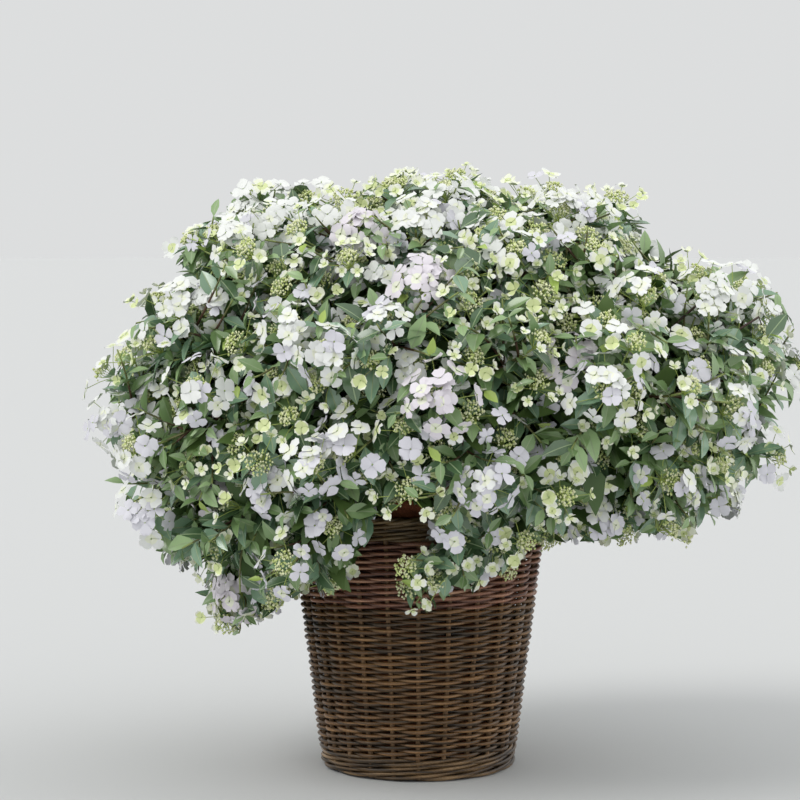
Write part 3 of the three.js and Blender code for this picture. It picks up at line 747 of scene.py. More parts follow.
def clear_of_planter(p, off=OFF_BASKET):
    """Whether points are above the pot's lip or outside the basket."""
    outside = np.hypot(p[..., 0], p[..., 1]) > basket_radius(np.clip(p[..., 2], 0, BASKET_HEIGHT)) + off
    return (p[..., 2] > ABOVE_LIP) | outside


def room_along(mass, direction, margin, most):
    """How far a straight line from a mass's centre goes inside that mass's space, in even steps."""
    steps = np.arange(1, int(most / ROOM_STEP) + 1) * ROOM_STEP
    p = mass_centre[mass] + steps[:, None] * direction
    inside = gap_to_neighbours(p, np.full(len(p), mass)) >= margin
    inside &= (crown_share(p) <= ENVELOPE_SHARE) & clear_of_planter(p)
    return ROOM_STEP * (len(steps) if inside.all() else inside.argmin())


def side_of(axis):
    """A level direction square to each axis, or the right-hand one where an axis is upright."""
    level = np.cross(axis, UP)
    upright = np.linalg.norm(level, axis=-1, keepdims=True) < NEARLY_UPRIGHT
    return np.where(upright, [1.0, 0.0, 0.0], unit(level))


def leaning(axis, turn, lean):
    """Directions at an angle off an axis: cos(lean) of the axis and sin(lean) of the way out at a turn about
    it, which is cos(turn) of its level side direction and sin(turn) of the one square to both."""
    side = side_of(axis)
    way = np.cos(turn)[..., None] * side + np.sin(turn)[..., None] * np.cross(axis, side)
    return np.cos(lean)[..., None] * axis + np.sin(lean)[..., None] * way


def rising(x, start, span):
    """How far a number has gone from start over a span, which may lead down: 0 before it, 1 beyond it."""
    return np.clip((x - start) / span, 0, 1)


def picked(keep, *arrays):
    """The rows that a mask keeps, of each array."""
    return [a[keep] for a in arrays]


main_tips, main_out, main_owner = [], [], []
for mass, out in enumerate(mass_out):
    numbers = drawn_numbers(MASS_SEED + mass, CORE_CORNERS + 2 * TWIGS - 1)[CORE_CORNERS:]
    directions = [out]
    for i in range(1, TWIGS):
        step = i + TWIG_TURN_SHARE * (numbers[2 * i - 1] - 0.5)
        turn = numbers[0] * 2 * np.pi + 2 * np.pi * step / (TWIGS - 1)
        lean = np.radians(TWIG_LEAN[0] + TWIG_LEAN[1] * (numbers[2 * i] - 0.5))
        directions.append(leaning(out, np.float64(turn), lean))
    for direction in directions:
        room = room_along(mass, direction, HEAD_MARGIN, TWIG_MOST)
        main_tips.append(mass_centre[mass] + direction * (room - TIP_INSIDE))
        main_out.append(direction)
        main_owner.append(mass)
main_tips, main_out, main_owner = np.array(main_tips), np.array(main_out), np.array(main_owner)
main_tips = HEART + (main_tips - HEART) / np.maximum(1, spray_share(main_tips) / TIP_SHARE)[:, None]
main_tips, main_out, main_owner = picked(parted(main_tips), main_tips, main_out, main_owner)


def off_back(way, ridge, forward):
    """Directions that lean back made upright, and all turned forward a little, by the share of being on
    the ridge."""
    back = np.where(way[:, 1] > 0, (1 - LEAN_CUT * ridge) * way[:, 1], way[:, 1]) - forward * ridge
    return unit(np.stack([way[:, 0], back, way[:, 2]], axis=-1))


def facing(out):
    """How heads face: outward and up to the light, the more upright the higher their own direction, and on
    the ridge hardly back at all."""
    high = np.clip(out[:, 2], 0, 1)
    ridge = np.clip(RIDGE_RISE * high, 0, 1) * rising(out[:, 1], *RIDGE_BACK)
    upward = (HEAD_UP + HEAD_UP * high)[:, None] * UP
    return off_back(HEAD_OUT * out * [1, 1, HEAD_LEVEL] + upward, ridge, HEAD_FORWARD)


main_axis = facing(main_out)


def tuft_level(direction):
    """How far out the sprays stand, as a share of their reach: the highest of many rounded tufts, each its
    own level less (angle from its middle / its roundness) squared."""
    angle = np.arccos(np.clip(direction @ tuft_ways.T, -1, 1))
    return (tuft_heights - (angle / TUFT_ROUND) ** 2).max(axis=1)


def scattered(tries, depths, apart, taken, chance, taken_apart):
    """Places in the crown's outer shell: random directions from the heart at the tufts' level less a random
    depth, kept where they are clear of the planter, of the partings and of neighbouring masses, and far
    enough from places already taken, the closer the higher up the crown."""
    direction = unit(chance.normal(0, 1, (tries, 3)))
    share = tuft_level(direction) - depths[0] - (depths[1] - depths[0]) * chance.uniform(0, 1, tries) ** 2
    p = HEART + direction * (spray_reach(direction) * share)[:, None]
    owner = ((p[:, None] - mass_centre[None]) ** 2).sum(-1).argmin(axis=1)
    good = clear_of_planter(p, PLACE_OFF_BASKET) & (gap_to_neighbours(p, owner) > PLACE_MARGIN) & parted(p)
    crossed = (owner == LEFT_SKIRT) & (seen_from_front(p)[:, 0] > SKIRTS_MEET)
    owner = np.where(crossed, RIGHT_SKIRT, owner)
    p, owner = p[good], owner[good]
    kept = np.zeros((0, 3))
    kept_owner = []
    closer = 1 - CLOSER_SHARE * rising(p[:, 2], *CLOSER_HEIGHTS)
    for place, mass, share in zip(p, owner, closer):
        near = np.linalg.norm(kept - place, axis=1).min() < apart * share if len(kept) else False
        near = near or np.linalg.norm(taken - place, axis=1).min() < taken_apart * share
        if not near:
            kept = np.concatenate([kept, place[None]])
            kept_owner.append(mass)
    return kept, np.array(kept_owner)


stem_tangent = unit(bough_paths[:, -1] - bough_paths[:, -2])
stem_start = bough_end + stem_tangent * STEM_OFF_BOUGH
stem_paths = bent(stem_start, stem_start + stem_tangent * STEM_BEND, mass_centre, STATIONS)
bow = chance.normal(0, TWIG_BOW, main_tips.shape)
main_base = main_tips - main_axis * HEAD_STALK
middle = (mass_centre[main_owner] + main_base) / 2
main_paths = bent(mass_centre[main_owner], middle + bow, main_base, STATIONS)
free = parted(main_paths).all(axis=1)
main_tips, main_owner, main_axis, main_paths = picked(free, main_tips, main_owner, main_axis, main_paths)

stem_ahead, main_ahead = np.gradient(stem_paths, axis=1), np.gradient(main_paths, axis=1)
limb_points = np.concatenate([stem_paths.reshape(-1, 3), main_paths[:, :-1].reshape(-1, 3)])
limb_ahead = np.concatenate([stem_ahead.reshape(-1, 3), main_ahead[:, :-1].reshape(-1, 3)])
limb_owner = np.concatenate([masses.repeat(STATIONS), main_owner.repeat(STATIONS - 1)])


def shoots_to(tips, owner, arrive, chance):
    """Curved shoots from the nearest fitting place on the same mass's stem or twigs to each tip. A place
    costs its distance, and more where it lies further out than the tip; the shoot leaves along its parent
    and arrives along its own axis."""
    gap = np.linalg.norm(tips[:, None] - limb_points[None], axis=-1)
    outer = np.maximum(0, crown_share(limb_points)[None] + SHOOT_OUTWARD - crown_share(tips)[:, None])
    cost = gap + outer * COST_OUTER + COST_OTHER_MASS * (limb_owner[None] != owner[:, None])
    cost = cost + COST_SHORT * np.maximum(0, SHOOT_LENGTHS[0] - gap)
    pick = cost.argmin(axis=1)
    start, length = limb_points[pick], gap[np.arange(len(tips)), pick]
    leaving = unit(unit(limb_ahead[pick]) + unit(tips - start) + chance.normal(0, SHOOT_SPREAD, tips.shape))
    onward = start + leaving * SHOOT_LEAVES * length[:, None]
    before = tips - arrive * SHOOT_ARRIVES * length[:, None]
    return bent(start, 0.5 * onward + 0.5 * before, tips, STATIONS), length


chance = np.random.default_rng(23)
tuft_ways = np.zeros((0, 3))
for way in unit(chance.normal(0, 1, (TUFT_TRIES, 3))):
    if not len(tuft_ways) or (tuft_ways @ way).max() < math.cos(TUFTS_APART):
        tuft_ways = np.concatenate([tuft_ways, way[None]])
tuft_heights = chance.uniform(*TUFT_LEVELS, len(tuft_ways))
side_tips, side_owner = scattered(TRIES, HEAD_DEPTHS, HEADS_APART, main_tips, chance, HEADS_OFF_MAIN)
side_out = unit(side_tips - HEART)
side_axis = unit(facing(side_out) + chance.normal(0, HEAD_SPREAD, side_out.shape))
side_paths, side_length = shoots_to(side_tips - side_axis * HEAD_STALK, side_owner, side_axis, chance)
free = (side_length < SHOOT_LENGTHS[1]) & parted(side_paths).all(axis=1)
side_tips, side_owner, side_axis, side_paths = picked(free, side_tips, side_owner, side_axis, side_paths)
head_tips = np.concatenate([main_tips, side_tips])
shown_tips = seen_from_front(head_tips)[:, [0, 2]]
# The head that shows whole at a place is the one seen nearest to it, and rather one at the front.
full_heads, blush_heads = [], []
for places, heads in ((FULL_PLACES, full_heads), (BLUSH_PLACES, blush_heads)):
    for place in places:
        cost = np.linalg.norm(shown_tips - place, axis=1) + COST_DEPTH * head_tips[:, 1]
        heads.append(cost.argmin())
whole = head_tips[full_heads + blush_heads]


def hides_whole(p):
    """Whether a point stands before one of the heads that show whole from the front: within HEAD_CLEAR of
    it there, and nearer."""
    off = (seen_from_front(p)[:, None] - seen_from_front(whole)[None])[..., [0, 2]]
    nearer = p[:, None, 1] < whole[None, :, 1] - HEAD_NEARER
    return ((np.linalg.norm(off, axis=-1) < HEAD_CLEAR) & nearer).any(axis=1)


leafy_tips, leafy_owner = scattered(TRIES, LEAFY_DEPTHS, LEAFY_APART, head_tips, chance, LEAFY_OFF_HEADS)
leafy_axis = unit(leafy_tips - HEART) + LEAFY_UP * UP + chance.normal(0, LEAFY_SPREAD, leafy_tips.shape)
leafy_axis = unit(leafy_axis)
leafy_paths, leafy_length = shoots_to(leafy_tips, leafy_owner, leafy_axis, chance)
free = (leafy_length < SHOOT_LENGTHS[1]) & parted(leafy_paths).all(axis=1)
leafy_owner, leafy_paths = picked(free, leafy_owner, leafy_paths)


def plain(name, colour, roughness, **sockets):
    """A plain living surface: one colour, one roughness, and any other socket by its own name."""
    material = bpy.data.materials.new(name)
    material.use_nodes = True
    shader = material.node_tree.nodes["Principled BSDF"]
    shader.inputs["Base Color"].default_value = paint(*colour)
    shader.inputs["Roughness"].default_value = roughness
    for socket, value in sockets.items():
        shader.inputs[socket.replace("_", " ")].default_value = value
    return material


twig_colours = [
    plain("twig_brown", (84, 60, 42), 0.6),
    plain("twig_olive", (104, 106, 62), 0.5),
    plain("twig_green", (138, 152, 84), 0.45),
    plain("twig_dark", (62, 42, 34), 0.5),
]
OLIVE, DARK = 1, 3
# Each kind of growth is joined to three pieces: the crown's two upper tiers, its middle and its skirt.
groups = []
for label, tiers in (("crown", (0, 1)), ("middle", (2,)), ("skirt", (3,))):
    members = np.flatnonzero(np.isin(mass_tier, tiers))
    groups.append((label, members, [f"foliage_{mass_names[m]}" for m in members]))


def tapering(count, ends):
    """Radii that go evenly from the first to the second of ends, for so many rods."""
    return np.broadcast_to(np.linspace(*ends, STATIONS), (count, STATIONS))


def behind_shown(shown, depth):
    """The point at a depth that shows at a place on the upright plane: seen_from_front turned about."""
    eye = np.array(VIEWPOINT)
    place = np.array([shown[0], 0.0, shown[1]])
    return eye + (place - eye) * (depth - eye[1]) / -eye[1]


bare_paths = []
for (x0, y0, z0), (x1, y1, z1) in BARE_STEMS:
    low, high = behind_shown((x0, z0), y0), behind_shown((x1, z1), y1)
    below, beyond = low - BARE_BELOW * unit(high - low), high + BARE_BEYOND * unit(high - low)
    root = limb_points[np.linalg.norm(limb_points - below, axis=1).argmin()]
    tip = head_tips[np.linalg.norm(head_tips - beyond, axis=1).argmin()]
    between = low + (high - low) * np.linspace(0, 1, STATIONS - 2)[:, None]
    bare_paths.append(np.concatenate([root[None], between, tip[None]]))
bare_paths = np.array(bare_paths)


def greening(count, changes):
    """Material numbers along rods: each length between stations takes the next colour on reaching a
    change."""
    step = sum((np.arange(STATIONS - 1) >= c).astype(int) for c in changes)
    return np.broadcast_to(step[None, :, None], (count, STATIONS - 1, TWIG_SIDES)).ravel()


for label, members, nodes in groups:
    sets, dealt = [], []
    for paths, owner, ends, changes in (
        (stem_paths, masses, STEM_R, ()),
        (main_paths, main_owner, TWIG_R, (4, 5)),
        (side_paths, side_owner, SHOOT_R, (2, 4)),
        (leafy_paths, leafy_owner, SHOOT_R, (3, 5)),
    ):
        own = np.isin(owner, members)
        sets.append(rods(paths[own], tapering(own.sum(), ends), TWIG_SIDES, capped=True))
        dealt += [greening(own.sum(), changes + (STATIONS,)), np.full(len(sets[-1][2]), OLIVE)]
    if label == "middle":
        sets.append(rods(bare_paths, tapering(len(bare_paths), BARE_R), TWIG_SIDES, capped=True))
        dealt += [np.full(len(sets[-1][1]), DARK), np.full(len(sets[-1][2]), OLIVE)]
    points, faces = put_together(*sets)
    twigs = piece_from(f"twigs_{label}", points, faces, twig_colours, dealt)
    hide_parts(*nodes)

# Leaves
# Pointed oval leaves stand in opposite pairs along every shoot, each pair square to the last. They are dark
# blue-green and glossy, folded up a little from a pale midrib, arched, and wavy at the edge.
LEAF_ROWS = np.array([0.0, 0.10, 0.27, 0.53, 0.81, 1.0])
LEAF_OUTLINE = np.array([0.030, 0.26, 0.84, 1.0, 0.54, 0.012])
LEAF_WIDTH = 0.46
LEAF_FOLD = (12, 32)
LEAF_ARCH = (0.04, 0.256)
LEAF_WAVE = (0.0006, 0.0020)
MIDRIB = 0.00085
MIDRIB_SHARE = 0.4
FORESHORTENED = 0.16
RIPPLE_PHASE = 900
PAIRS_MOST = 7
PAIR_FIRST = 0.001
PAIR_SHIFT = 0.004
PAIR_LAST = 0.006
LEAF_LEAN = (48, 78)
LEAF_DROOP = (0.05, 0.42)
LEAF_SPREAD = 0.16
# A leaf's face is turned so much up, outward and along its shoot.
LEAF_FACE = (0.75, 0.55, 0.35)
LEAF_SHORTER = 0.66
LEAF_OFF_BASKET = 0.008
OUTER_LEAVES = 0.70
TIPS_ROOMY = 1.04
TIPS_SPRAY = 1.06
TIPS_CROWN = 1.01
# Painted shade and light: leaf tones darken low in the crown and near the middle, and lighten at its sides.
LEAF_LOW = (0.45, 0.40)
SIDES_HIGHER = 0.70
LEAF_SIDES = (0.08, 0.25)
DARK_ALL = 0.05
PAINTED_SHADE_LOW = 0.20
PAINTED_LIGHT_SIDES = -0.24
TONES = (0.27, 0.60, 0.90)
MID_DARK = 0.4
# Shares of a colour high up, and how much less of it there is low down, as painted shade.
NEW_LEAVES = (0.14, 0.10)
PALE_LEAVES = (0.5, 0.32)


def spread_over(origin, *parts):
    """Grids of points: each grid's origin, plus every part's amounts along that part's own direction. The
    amounts have rows and columns after the axes that origins and directions have."""
    points = origin[..., None, None, :]
    for amounts, direction in parts:
        points = points + amounts[..., None] * direction[..., None, None, :]
    return points


def leaf_blades(root, ahead, face, length, fold, arch, wave):
    """Leaves on a grid of six rows by four: along is the share of the length, across the outline's half
    width there. The edges rise by the fold, the blade drops by arch x along^2 and the edge ripples by
    sin(3 half turns x along)."""
    across = unit(np.cross(ahead, face))
    normal = np.cross(across, ahead)
    t = LEAF_ROWS[None, :]
    half = LEAF_OUTLINE * (length * LEAF_WIDTH / 2)[:, None]
    rib = np.minimum(half * MIDRIB_SHARE, MIDRIB)
    columns = np.stack([-half, -rib, rib, half], -1)
    lift = np.abs(columns) * np.tan(fold)[:, None, None]
    ripple = wave[:, None] * np.sin(3 * np.pi * t + wave[:, None] * RIPPLE_PHASE) * LEAF_OUTLINE
    lift[..., 0] += ripple
    lift[..., 3] -= ripple
    lift -= (arch * length)[:, None, None] * (t**2)[..., None]
    reach = (length[:, None] * (t - FORESHORTENED * arch[:, None] * t**2))[..., None]
    points = spread_over(root, (reach, ahead), (columns, across), (lift, normal))
    return points.reshape(-1, 3), quads_on(np.arange(len(root) * 24).reshape(-1, 6, 4))


def along_path(paths, share):
    """Place and direction at a share of each path's stations, straight between them."""
    spot = np.clip(share, 0, 1) * (paths.shape[1] - 1)
    low = np.minimum(np.floor(spot).astype(int), paths.shape[1] - 2)
    pick = np.arange(len(paths))
    a, b = paths[pick, low], paths[pick, low + 1]
    return a + (b - a) * (spot - low)[:, None], unit(b - a)


def pairs_on(paths, owner, spacing, size, small_first, chance):
    """Opposite pairs counted back from each path's tip: root, direction, face, length, owner and number."""
    length = np.linalg.norm(np.diff(paths, axis=1), axis=-1).sum(axis=1)
    count = len(paths)
    spin = chance.uniform(0, 2 * np.pi, count)
    gap = chance.uniform(*spacing, count)
    found = []
    for k in range(PAIRS_MOST):
        back = PAIR_FIRST + k * gap + chance.uniform(-PAIR_SHIFT, PAIR_SHIFT, count)
        root, ahead = along_path(paths, 1 - back / length)
        for half in (0, np.pi):
            turn = spin + k * np.pi / 2 + half + chance.normal(0, LEAF_SPREAD, count)
            direction = leaning(ahead, turn, np.radians(chance.uniform(*LEAF_LEAN, count)))
            direction = unit(direction - UP * chance.uniform(*LEAF_DROOP, count)[:, None])
            long = chance.uniform(*size, count) * (small_first if k == 0 else 1)
            face = UP * LEAF_FACE[0] + unit(root - HEART) * LEAF_FACE[1] + ahead * LEAF_FACE[2]
            face = unit(face + chance.normal(0, LEAF_SPREAD, root.shape))
            number = np.full(count, k)
            found.append(picked(back < length - PAIR_LAST, root, direction, face, long, owner, number))
    return [np.concatenate(arrays) for arrays in zip(*found)]


def less_low(shares, low):
    """A share high up, less a second one times the share of being low."""
    return shares[0] - shares[1] * low


chance = np.random.default_rng(37)
# Each kind of shoot has its spacing of pairs, its length of leaves, and a share of that for the tip's.
sets = [
    pairs_on(main_paths, main_owner, (0.022, 0.032), (0.044, 0.066), 0.95, chance),
    pairs_on(side_paths, side_owner, (0.020, 0.030), (0.042, 0.064), 0.92, chance),
    pairs_on(leafy_paths, leafy_owner, (0.018, 0.028), (0.040, 0.062), 0.60, chance),
]
young = np.concatenate([np.full(len(s[0]), i == 2) for i, s in enumerate(sets)])
root, ahead, face, length, owner, order = [np.concatenate(arrays) for arrays in zip(*sets)]
tip = root + ahead * length[:, None]
roomy = (spray_share(tip) < TIPS_ROOMY) & clear_of_planter(tip, LEAF_OFF_BASKET)
length = np.where(roomy, length, length * LEAF_SHORTER)
tip = root + ahead * length[:, None]
middle = root + ahead * length[:, None] / 2
fits = (spray_share(tip) < TIPS_SPRAY) & (crown_share(tip) < TIPS_CROWN) & (spray_share(root) > OUTER_LEAVES)
fits &= clear_of_planter(tip, LEAF_OFF_BASKET) & parted(tip) & parted(middle)
fits &= ~hides_whole(tip) & ~hides_whole(middle)
root, ahead, face, length, owner, order, young = picked(fits, root, ahead, face, length, owner, order, young)

leaf_colours = [
    plain("leaf_rib", (146, 166, 126), 0.5),
    plain("leaf_deep", (78, 106, 72), 0.25, Specular_IOR_Level=1.0),
    plain("leaf_blue", (123, 155, 126), 0.22, Specular_IOR_Level=1.0),
    plain("leaf_mid", (120, 149, 96), 0.28, Specular_IOR_Level=0.9),
    plain("leaf_light", (148, 176, 124), 0.30),
    plain("leaf_new", (172, 196, 102), 0.42),
]
RIB, DEEP, BLUE, MID, LIGHT, NEW = range(6)
draw = chance.uniform(0, 1, len(root))
# Painted shade and light: more leaves are deep green low down and near the middle, and more are light
# toward the sides.
low = 1 - rising(root[:, 2] + SIDES_HIGHER * np.abs(root[:, 0]), *LEAF_LOW)
dark = DARK_ALL + PAINTED_SHADE_LOW * low + PAINTED_LIGHT_SIDES * rising(np.abs(root[:, 0]), *LEAF_SIDES)
below = [draw < TONES[0] + dark, draw < TONES[1] + dark, draw < TONES[2] + MID_DARK * dark]
tone = np.select(below, [DEEP, BLUE, MID], LIGHT)
below = [draw < less_low(NEW_LEAVES, low), draw < less_low(PALE_LEAVES, low)]
fresh = np.select(below, [NEW, LIGHT], MID)
tone = np.where(young & (order == 0), fresh, tone)
fold = np.radians(chance.uniform(*LEAF_FOLD, len(root)))
arch = chance.uniform(*LEAF_ARCH, len(root))
wave = chance.uniform(*LEAF_WAVE, len(root))
for label, members, nodes in groups:
    own = np.isin(owner, members)
    points, quads = leaf_blades(*picked(own, root, ahead, face, length, fold, arch, wave))
    colour = np.broadcast_to(tone[own][:, None, None], quads.shape[:3]).copy()
    colour[:, :, 1] = np.where(colour[:, :, 1] == NEW, NEW, RIB)
    leaves = piece_from(f"leaves_{label}", points, [quads.reshape(-1, 4)], leaf_colours, [colour.ravel()])
    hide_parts(*nodes)

# Inner leaves
# Larger, older leaves fill the shade inside the crown, on the stems and the inner lengths of the twigs.
# They are dull dark green, seldom seen whole, and are what keeps the crown from being looked through.
INNER_ROWS = np.array([0.0, 0.34, 0.72, 1.0])
INNER_OUTLINE = np.array([0.05, 1.0, 0.66, 0.02])
INNER_HALF = 0.23
INNER_FOLD = 0.28
INNER_DROP = (0.05, 0.3)
INNER_LONG = (0.056, 0.084)
INNER_LEAN = (45, 85)
INNER_SHARES = (0.30, 0.80)
INNER_TIPS = 0.93
INNER_SPACING = 0.021
INNER_ALONG = (0.02, 0.98)
INNER_FACE = (0.7, 0.6)
INNER_SPREAD = 0.25
INNER_DROOP = 0.4
INNER_OFF_BASKET = 0.002
DULL_SHARE = 0.4


def broad_leaves(root, ahead, face, length, drop):
    """Leaves on a grid of four rows by three: the midrib and both edges, folded up, and dropping by the
    square of the share of the length."""
    across = unit(np.cross(ahead, face))
    half = INNER_OUTLINE * (length * INNER_HALF)[:, None]
    columns = np.stack([-half, 0 * half, half], -1)
    lift = np.abs(columns) * INNER_FOLD - (drop * length)[:, None, None] * (INNER_ROWS**2)[:, None]
    reach = (length[:, None] * INNER_ROWS)[..., None]
    points = spread_over(root, (reach, ahead), (columns, across), (lift, np.cross(across, ahead)))
    return points.reshape(-1, 3), quads_on(np.arange(len(root) * 12).reshape(-1, 4, 3)).reshape(-1, 4)


outer_boughs = bough_paths[:, :: BOUGH_STATIONS // STATIONS][:, -STATIONS:]
all_paths = np.concatenate([outer_boughs, stem_paths, main_paths, side_paths, leafy_paths])
all_owner = np.concatenate([masses, masses, main_owner, side_owner, leafy_owner])
path_length = np.linalg.norm(np.diff(all_paths, axis=1), axis=-1).sum(axis=1)
which = np.arange(len(all_paths)).repeat(np.maximum(1, (path_length / INNER_SPACING).astype(int)))
root, ahead = along_path(all_paths[which], chance.uniform(*INNER_ALONG, len(which)))
turn = chance.uniform(0, 2 * np.pi, len(which))
way = leaning(ahead, turn, np.radians(chance.uniform(*INNER_LEAN, len(which))))
way = unit(way - UP * chance.uniform(0, INNER_DROOP, len(which))[:, None])
length = chance.uniform(*INNER_LONG, len(which))
tip = root + way * length[:, None]
share = crown_share(root)
fits = (share > INNER_SHARES[0]) & (share < INNER_SHARES[1]) & (crown_share(tip) < INNER_TIPS)
fits &= clear_of_planter(tip, LEAF_OFF_BASKET) & clear_of_planter(root, INNER_OFF_BASKET)
fits &= parted(tip) & parted(root)
face = UP * INNER_FACE[0] + unit(root - HEART) * INNER_FACE[1]
face = unit(face + chance.normal(0, INNER_SPREAD, root.shape))
inner_colours = [plain("inner_dark", (68, 94, 46), 0.5), plain("inner_dull", (88, 114, 56), 0.5)]
for label, members, nodes in groups:
    own = fits & np.isin(all_owner[which], members)
    drop = chance.uniform(*INNER_DROP, own.sum())
    points, quads = broad_leaves(*picked(own, root, way, face, length), drop)
    colour = (chance.uniform(0, 1, own.sum()) < DULL_SHARE).astype(int).repeat(6)
    inner = piece_from(f"inner_leaves_{label}", points, [quads], inner_colours, [colour])
    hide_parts(*nodes)

# Flower heads
# Each shoot ends in a flat lacy head: seven short rays carry beads of unopened buds, greenish cream, and a
# ring of large florets stands out round them on longer stalks.
HEAD_R = (0.034, 0.047)
WHOLE_LARGER = 1.15
RAYS = 7
RAY_OUT = 0.30
RAY_LOW = 0.20
RAY_R = (0.0008, 0.0005)
BEADS = 76
BEADS_PER_STALK = 4
BEAD_R = (0.0018, 0.0030)
BEAD_RISE = 0.16
GOLDEN_TURN = 2.39996
PEDICEL_R = (0.0005, 0.0004)
BEAD_TURN_SPREAD = 0.25
BEAD_RISE_SPREAD = 0.0022
BEAD_OUT_UNEVEN = (0.85, 1.1)
CREAM_SHARE = 0.62
BLUSH_FROM = 0.985
SUNNY = (0.70, 0.22)
LEFT_SUNNY = 0.90
BEHIND = 0.05
FAR_RIGHT = 0.44
FULL_SHARE = {"far": 0.22, "near": 0.01, "sunny": 0.10}
OPEN_SHARE = {"near": 0.48, "sunny": -0.12, "far": 0.06}
WHOLE_FORWARD = 0.8
# Heads are just opening, young, full-grown, or full-grown with a blush.
OPEN, YOUNG, FULL, BLUSH = range(4)
BEADS_SPREAD = np.array([0.45, 0.48, 0.38, 0.38])


def beads(centre, radius, spin):
    """Small buds as two three-sided points base to base: three corners a radius out, a third of a turn
    apart from spin, and one a radius up and one a radius down."""
    turn = spin[:, None] + np.arange(3) * 2 * np.pi / 3
    around = np.stack([np.cos(turn), np.sin(turn), 0 * turn], axis=-1)
    ends = np.broadcast_to([UP, -UP], (len(spin), 2, 3))
    points = centre[:, None] + np.concatenate([around, ends], axis=1) * radius[:, None, None]
    corners = np.array([[0, 1, 3], [1, 2, 3], [2, 0, 3], [1, 0, 4], [2, 1, 4], [0, 2, 4]])
    faces = ((np.arange(len(centre)) * 5)[:, None, None] + corners[None]).reshape(-1, 3)
    return points.reshape(-1, 3), faces


chance = np.random.default_rng(53)
head_axis = np.concatenate([main_axis, side_axis])
head_owner = np.concatenate([main_owner, side_owner])
count = len(head_tips)
head_whole = np.zeros(count, bool)
head_whole[full_heads + blush_heads] = True
head_r = chance.uniform(*HEAD_R, count) * np.where(head_whole, WHOLE_LARGER, 1)
head_base = head_tips - head_axis * HEAD_STALK
draw = chance.uniform(0, 1, count)
# Full-grown heads are more common high up and on the left, which get more sun, and at the back and right.
sunny = rising(head_tips[:, 2] - LEFT_SUNNY * np.minimum(head_tips[:, 0], 0), *SUNNY)
far = (head_tips[:, 1] > BEHIND) | (head_tips[:, 0] > FAR_RIGHT)
full_share = np.where(far, FULL_SHARE["far"], FULL_SHARE["near"]) + FULL_SHARE["sunny"] * sunny
open_share = OPEN_SHARE["near"] + OPEN_SHARE["sunny"] * sunny + OPEN_SHARE["far"] * far
below = [draw < open_share, draw < BLUSH_FROM - full_share, draw < BLUSH_FROM]
head_kind = np.select(below, [OPEN, YOUNG, FULL], BLUSH)
head_kind[full_heads], head_kind[blush_heads] = FULL, BLUSH
head_axis = np.where(head_whole[:, None], unit(head_axis + [0, -WHOLE_FORWARD, 0]), head_axis)
head_side = side_of(head_axis)
head_other = np.cross(head_axis, head_side)


def on_head(head, out, turn, rise):
    """A point of a head: out times cos and sin of the turn along its two side directions, and rise along
    its axis."""
    point = head_tips[head] + (out * np.cos(turn))[:, None] * head_side[head]
    return point + (out * np.sin(turn))[:, None] * head_other[head] + rise[:, None] * head_axis[head]


ray_head = np.arange(count).repeat(RAYS)
ray_number = np.tile(np.arange(RAYS), count)
ray_turn = ray_number * 2 * np.pi / (RAYS - 1) + chance.uniform(0, 6, count).repeat(RAYS)
ray_out = np.where(ray_number == 0, 0.0, RAY_OUT) * head_r[ray_head]
ray_tip = on_head(ray_head, ray_out, ray_turn, -RAY_LOW * head_r[ray_head])
bead_head = np.arange(count).repeat(BEADS)
bead_number = np.tile(np.arange(BEADS), count)
spread = BEADS_SPREAD[head_kind[bead_head]] * head_r[bead_head]
bead_out = spread * np.sqrt((bead_number + 0.5) / BEADS) * chance.uniform(*BEAD_OUT_UNEVEN, len(bead_head))
bead_turn = bead_number * GOLDEN_TURN + chance.normal(0, BEAD_TURN_SPREAD, len(bead_head))
bead_rise = BEAD_RISE * head_r[bead_head] * (1 - (bead_out / spread) ** 2)
bead_rise = bead_rise + chance.normal(0, BEAD_RISE_SPREAD, len(bead_head))
bead_place = on_head(bead_head, bead_out, bead_turn, bead_rise)
bead_r = chance.uniform(*BEAD_R, len(bead_head))
ray_grid = ray_tip.reshape(count, RAYS, 3)[bead_head]
nearest = np.linalg.norm(ray_grid - bead_place[:, None], axis=-1).argmin(axis=1)
pedicel_start = ray_grid[np.arange(len(bead_head)), nearest]


def stalks_between(start, end, radii):
    """Straight three-sided stalks from each start to its end, with one radius there and another there."""
    return rods(np.stack([start, end], 1), np.broadcast_to(radii, (len(start), 2)), 3)


stalk_green = plain("stalk_green", (174, 192, 100), 0.5)
bud_cream = plain("bud_cream", (238, 241, 198), 0.5)
bud_green = plain("bud_green", (214, 226, 150), 0.5)
for label, members, nodes in groups:
    own_ray = np.isin(head_owner[ray_head], members)
    own_bead = np.isin(head_owner[bead_head], members)
    stalked = own_bead & (bead_number % BEADS_PER_STALK == 0)
    clusters = beads(bead_place[own_bead], bead_r[own_bead], chance.uniform(0, 1.6, own_bead.sum()))
    rays = stalks_between(*picked(own_ray, head_base[ray_head], ray_tip), RAY_R)
    pedicels = stalks_between(*picked(stalked, pedicel_start, bead_place), PEDICEL_R)
    points, faces = put_together(clusters, rays, pedicels)
    green = (chance.uniform(0, 1, own_bead.sum()) >= CREAM_SHARE).astype(int)
    dealt = [green.repeat(6), np.full(len(rays[1]), 2), np.full(len(pedicels[1]), 2)]
    buds = piece_from(f"buds_{label}", points, faces, [bud_cream, bud_green, stalk_green], dealt)
    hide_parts(*nodes)
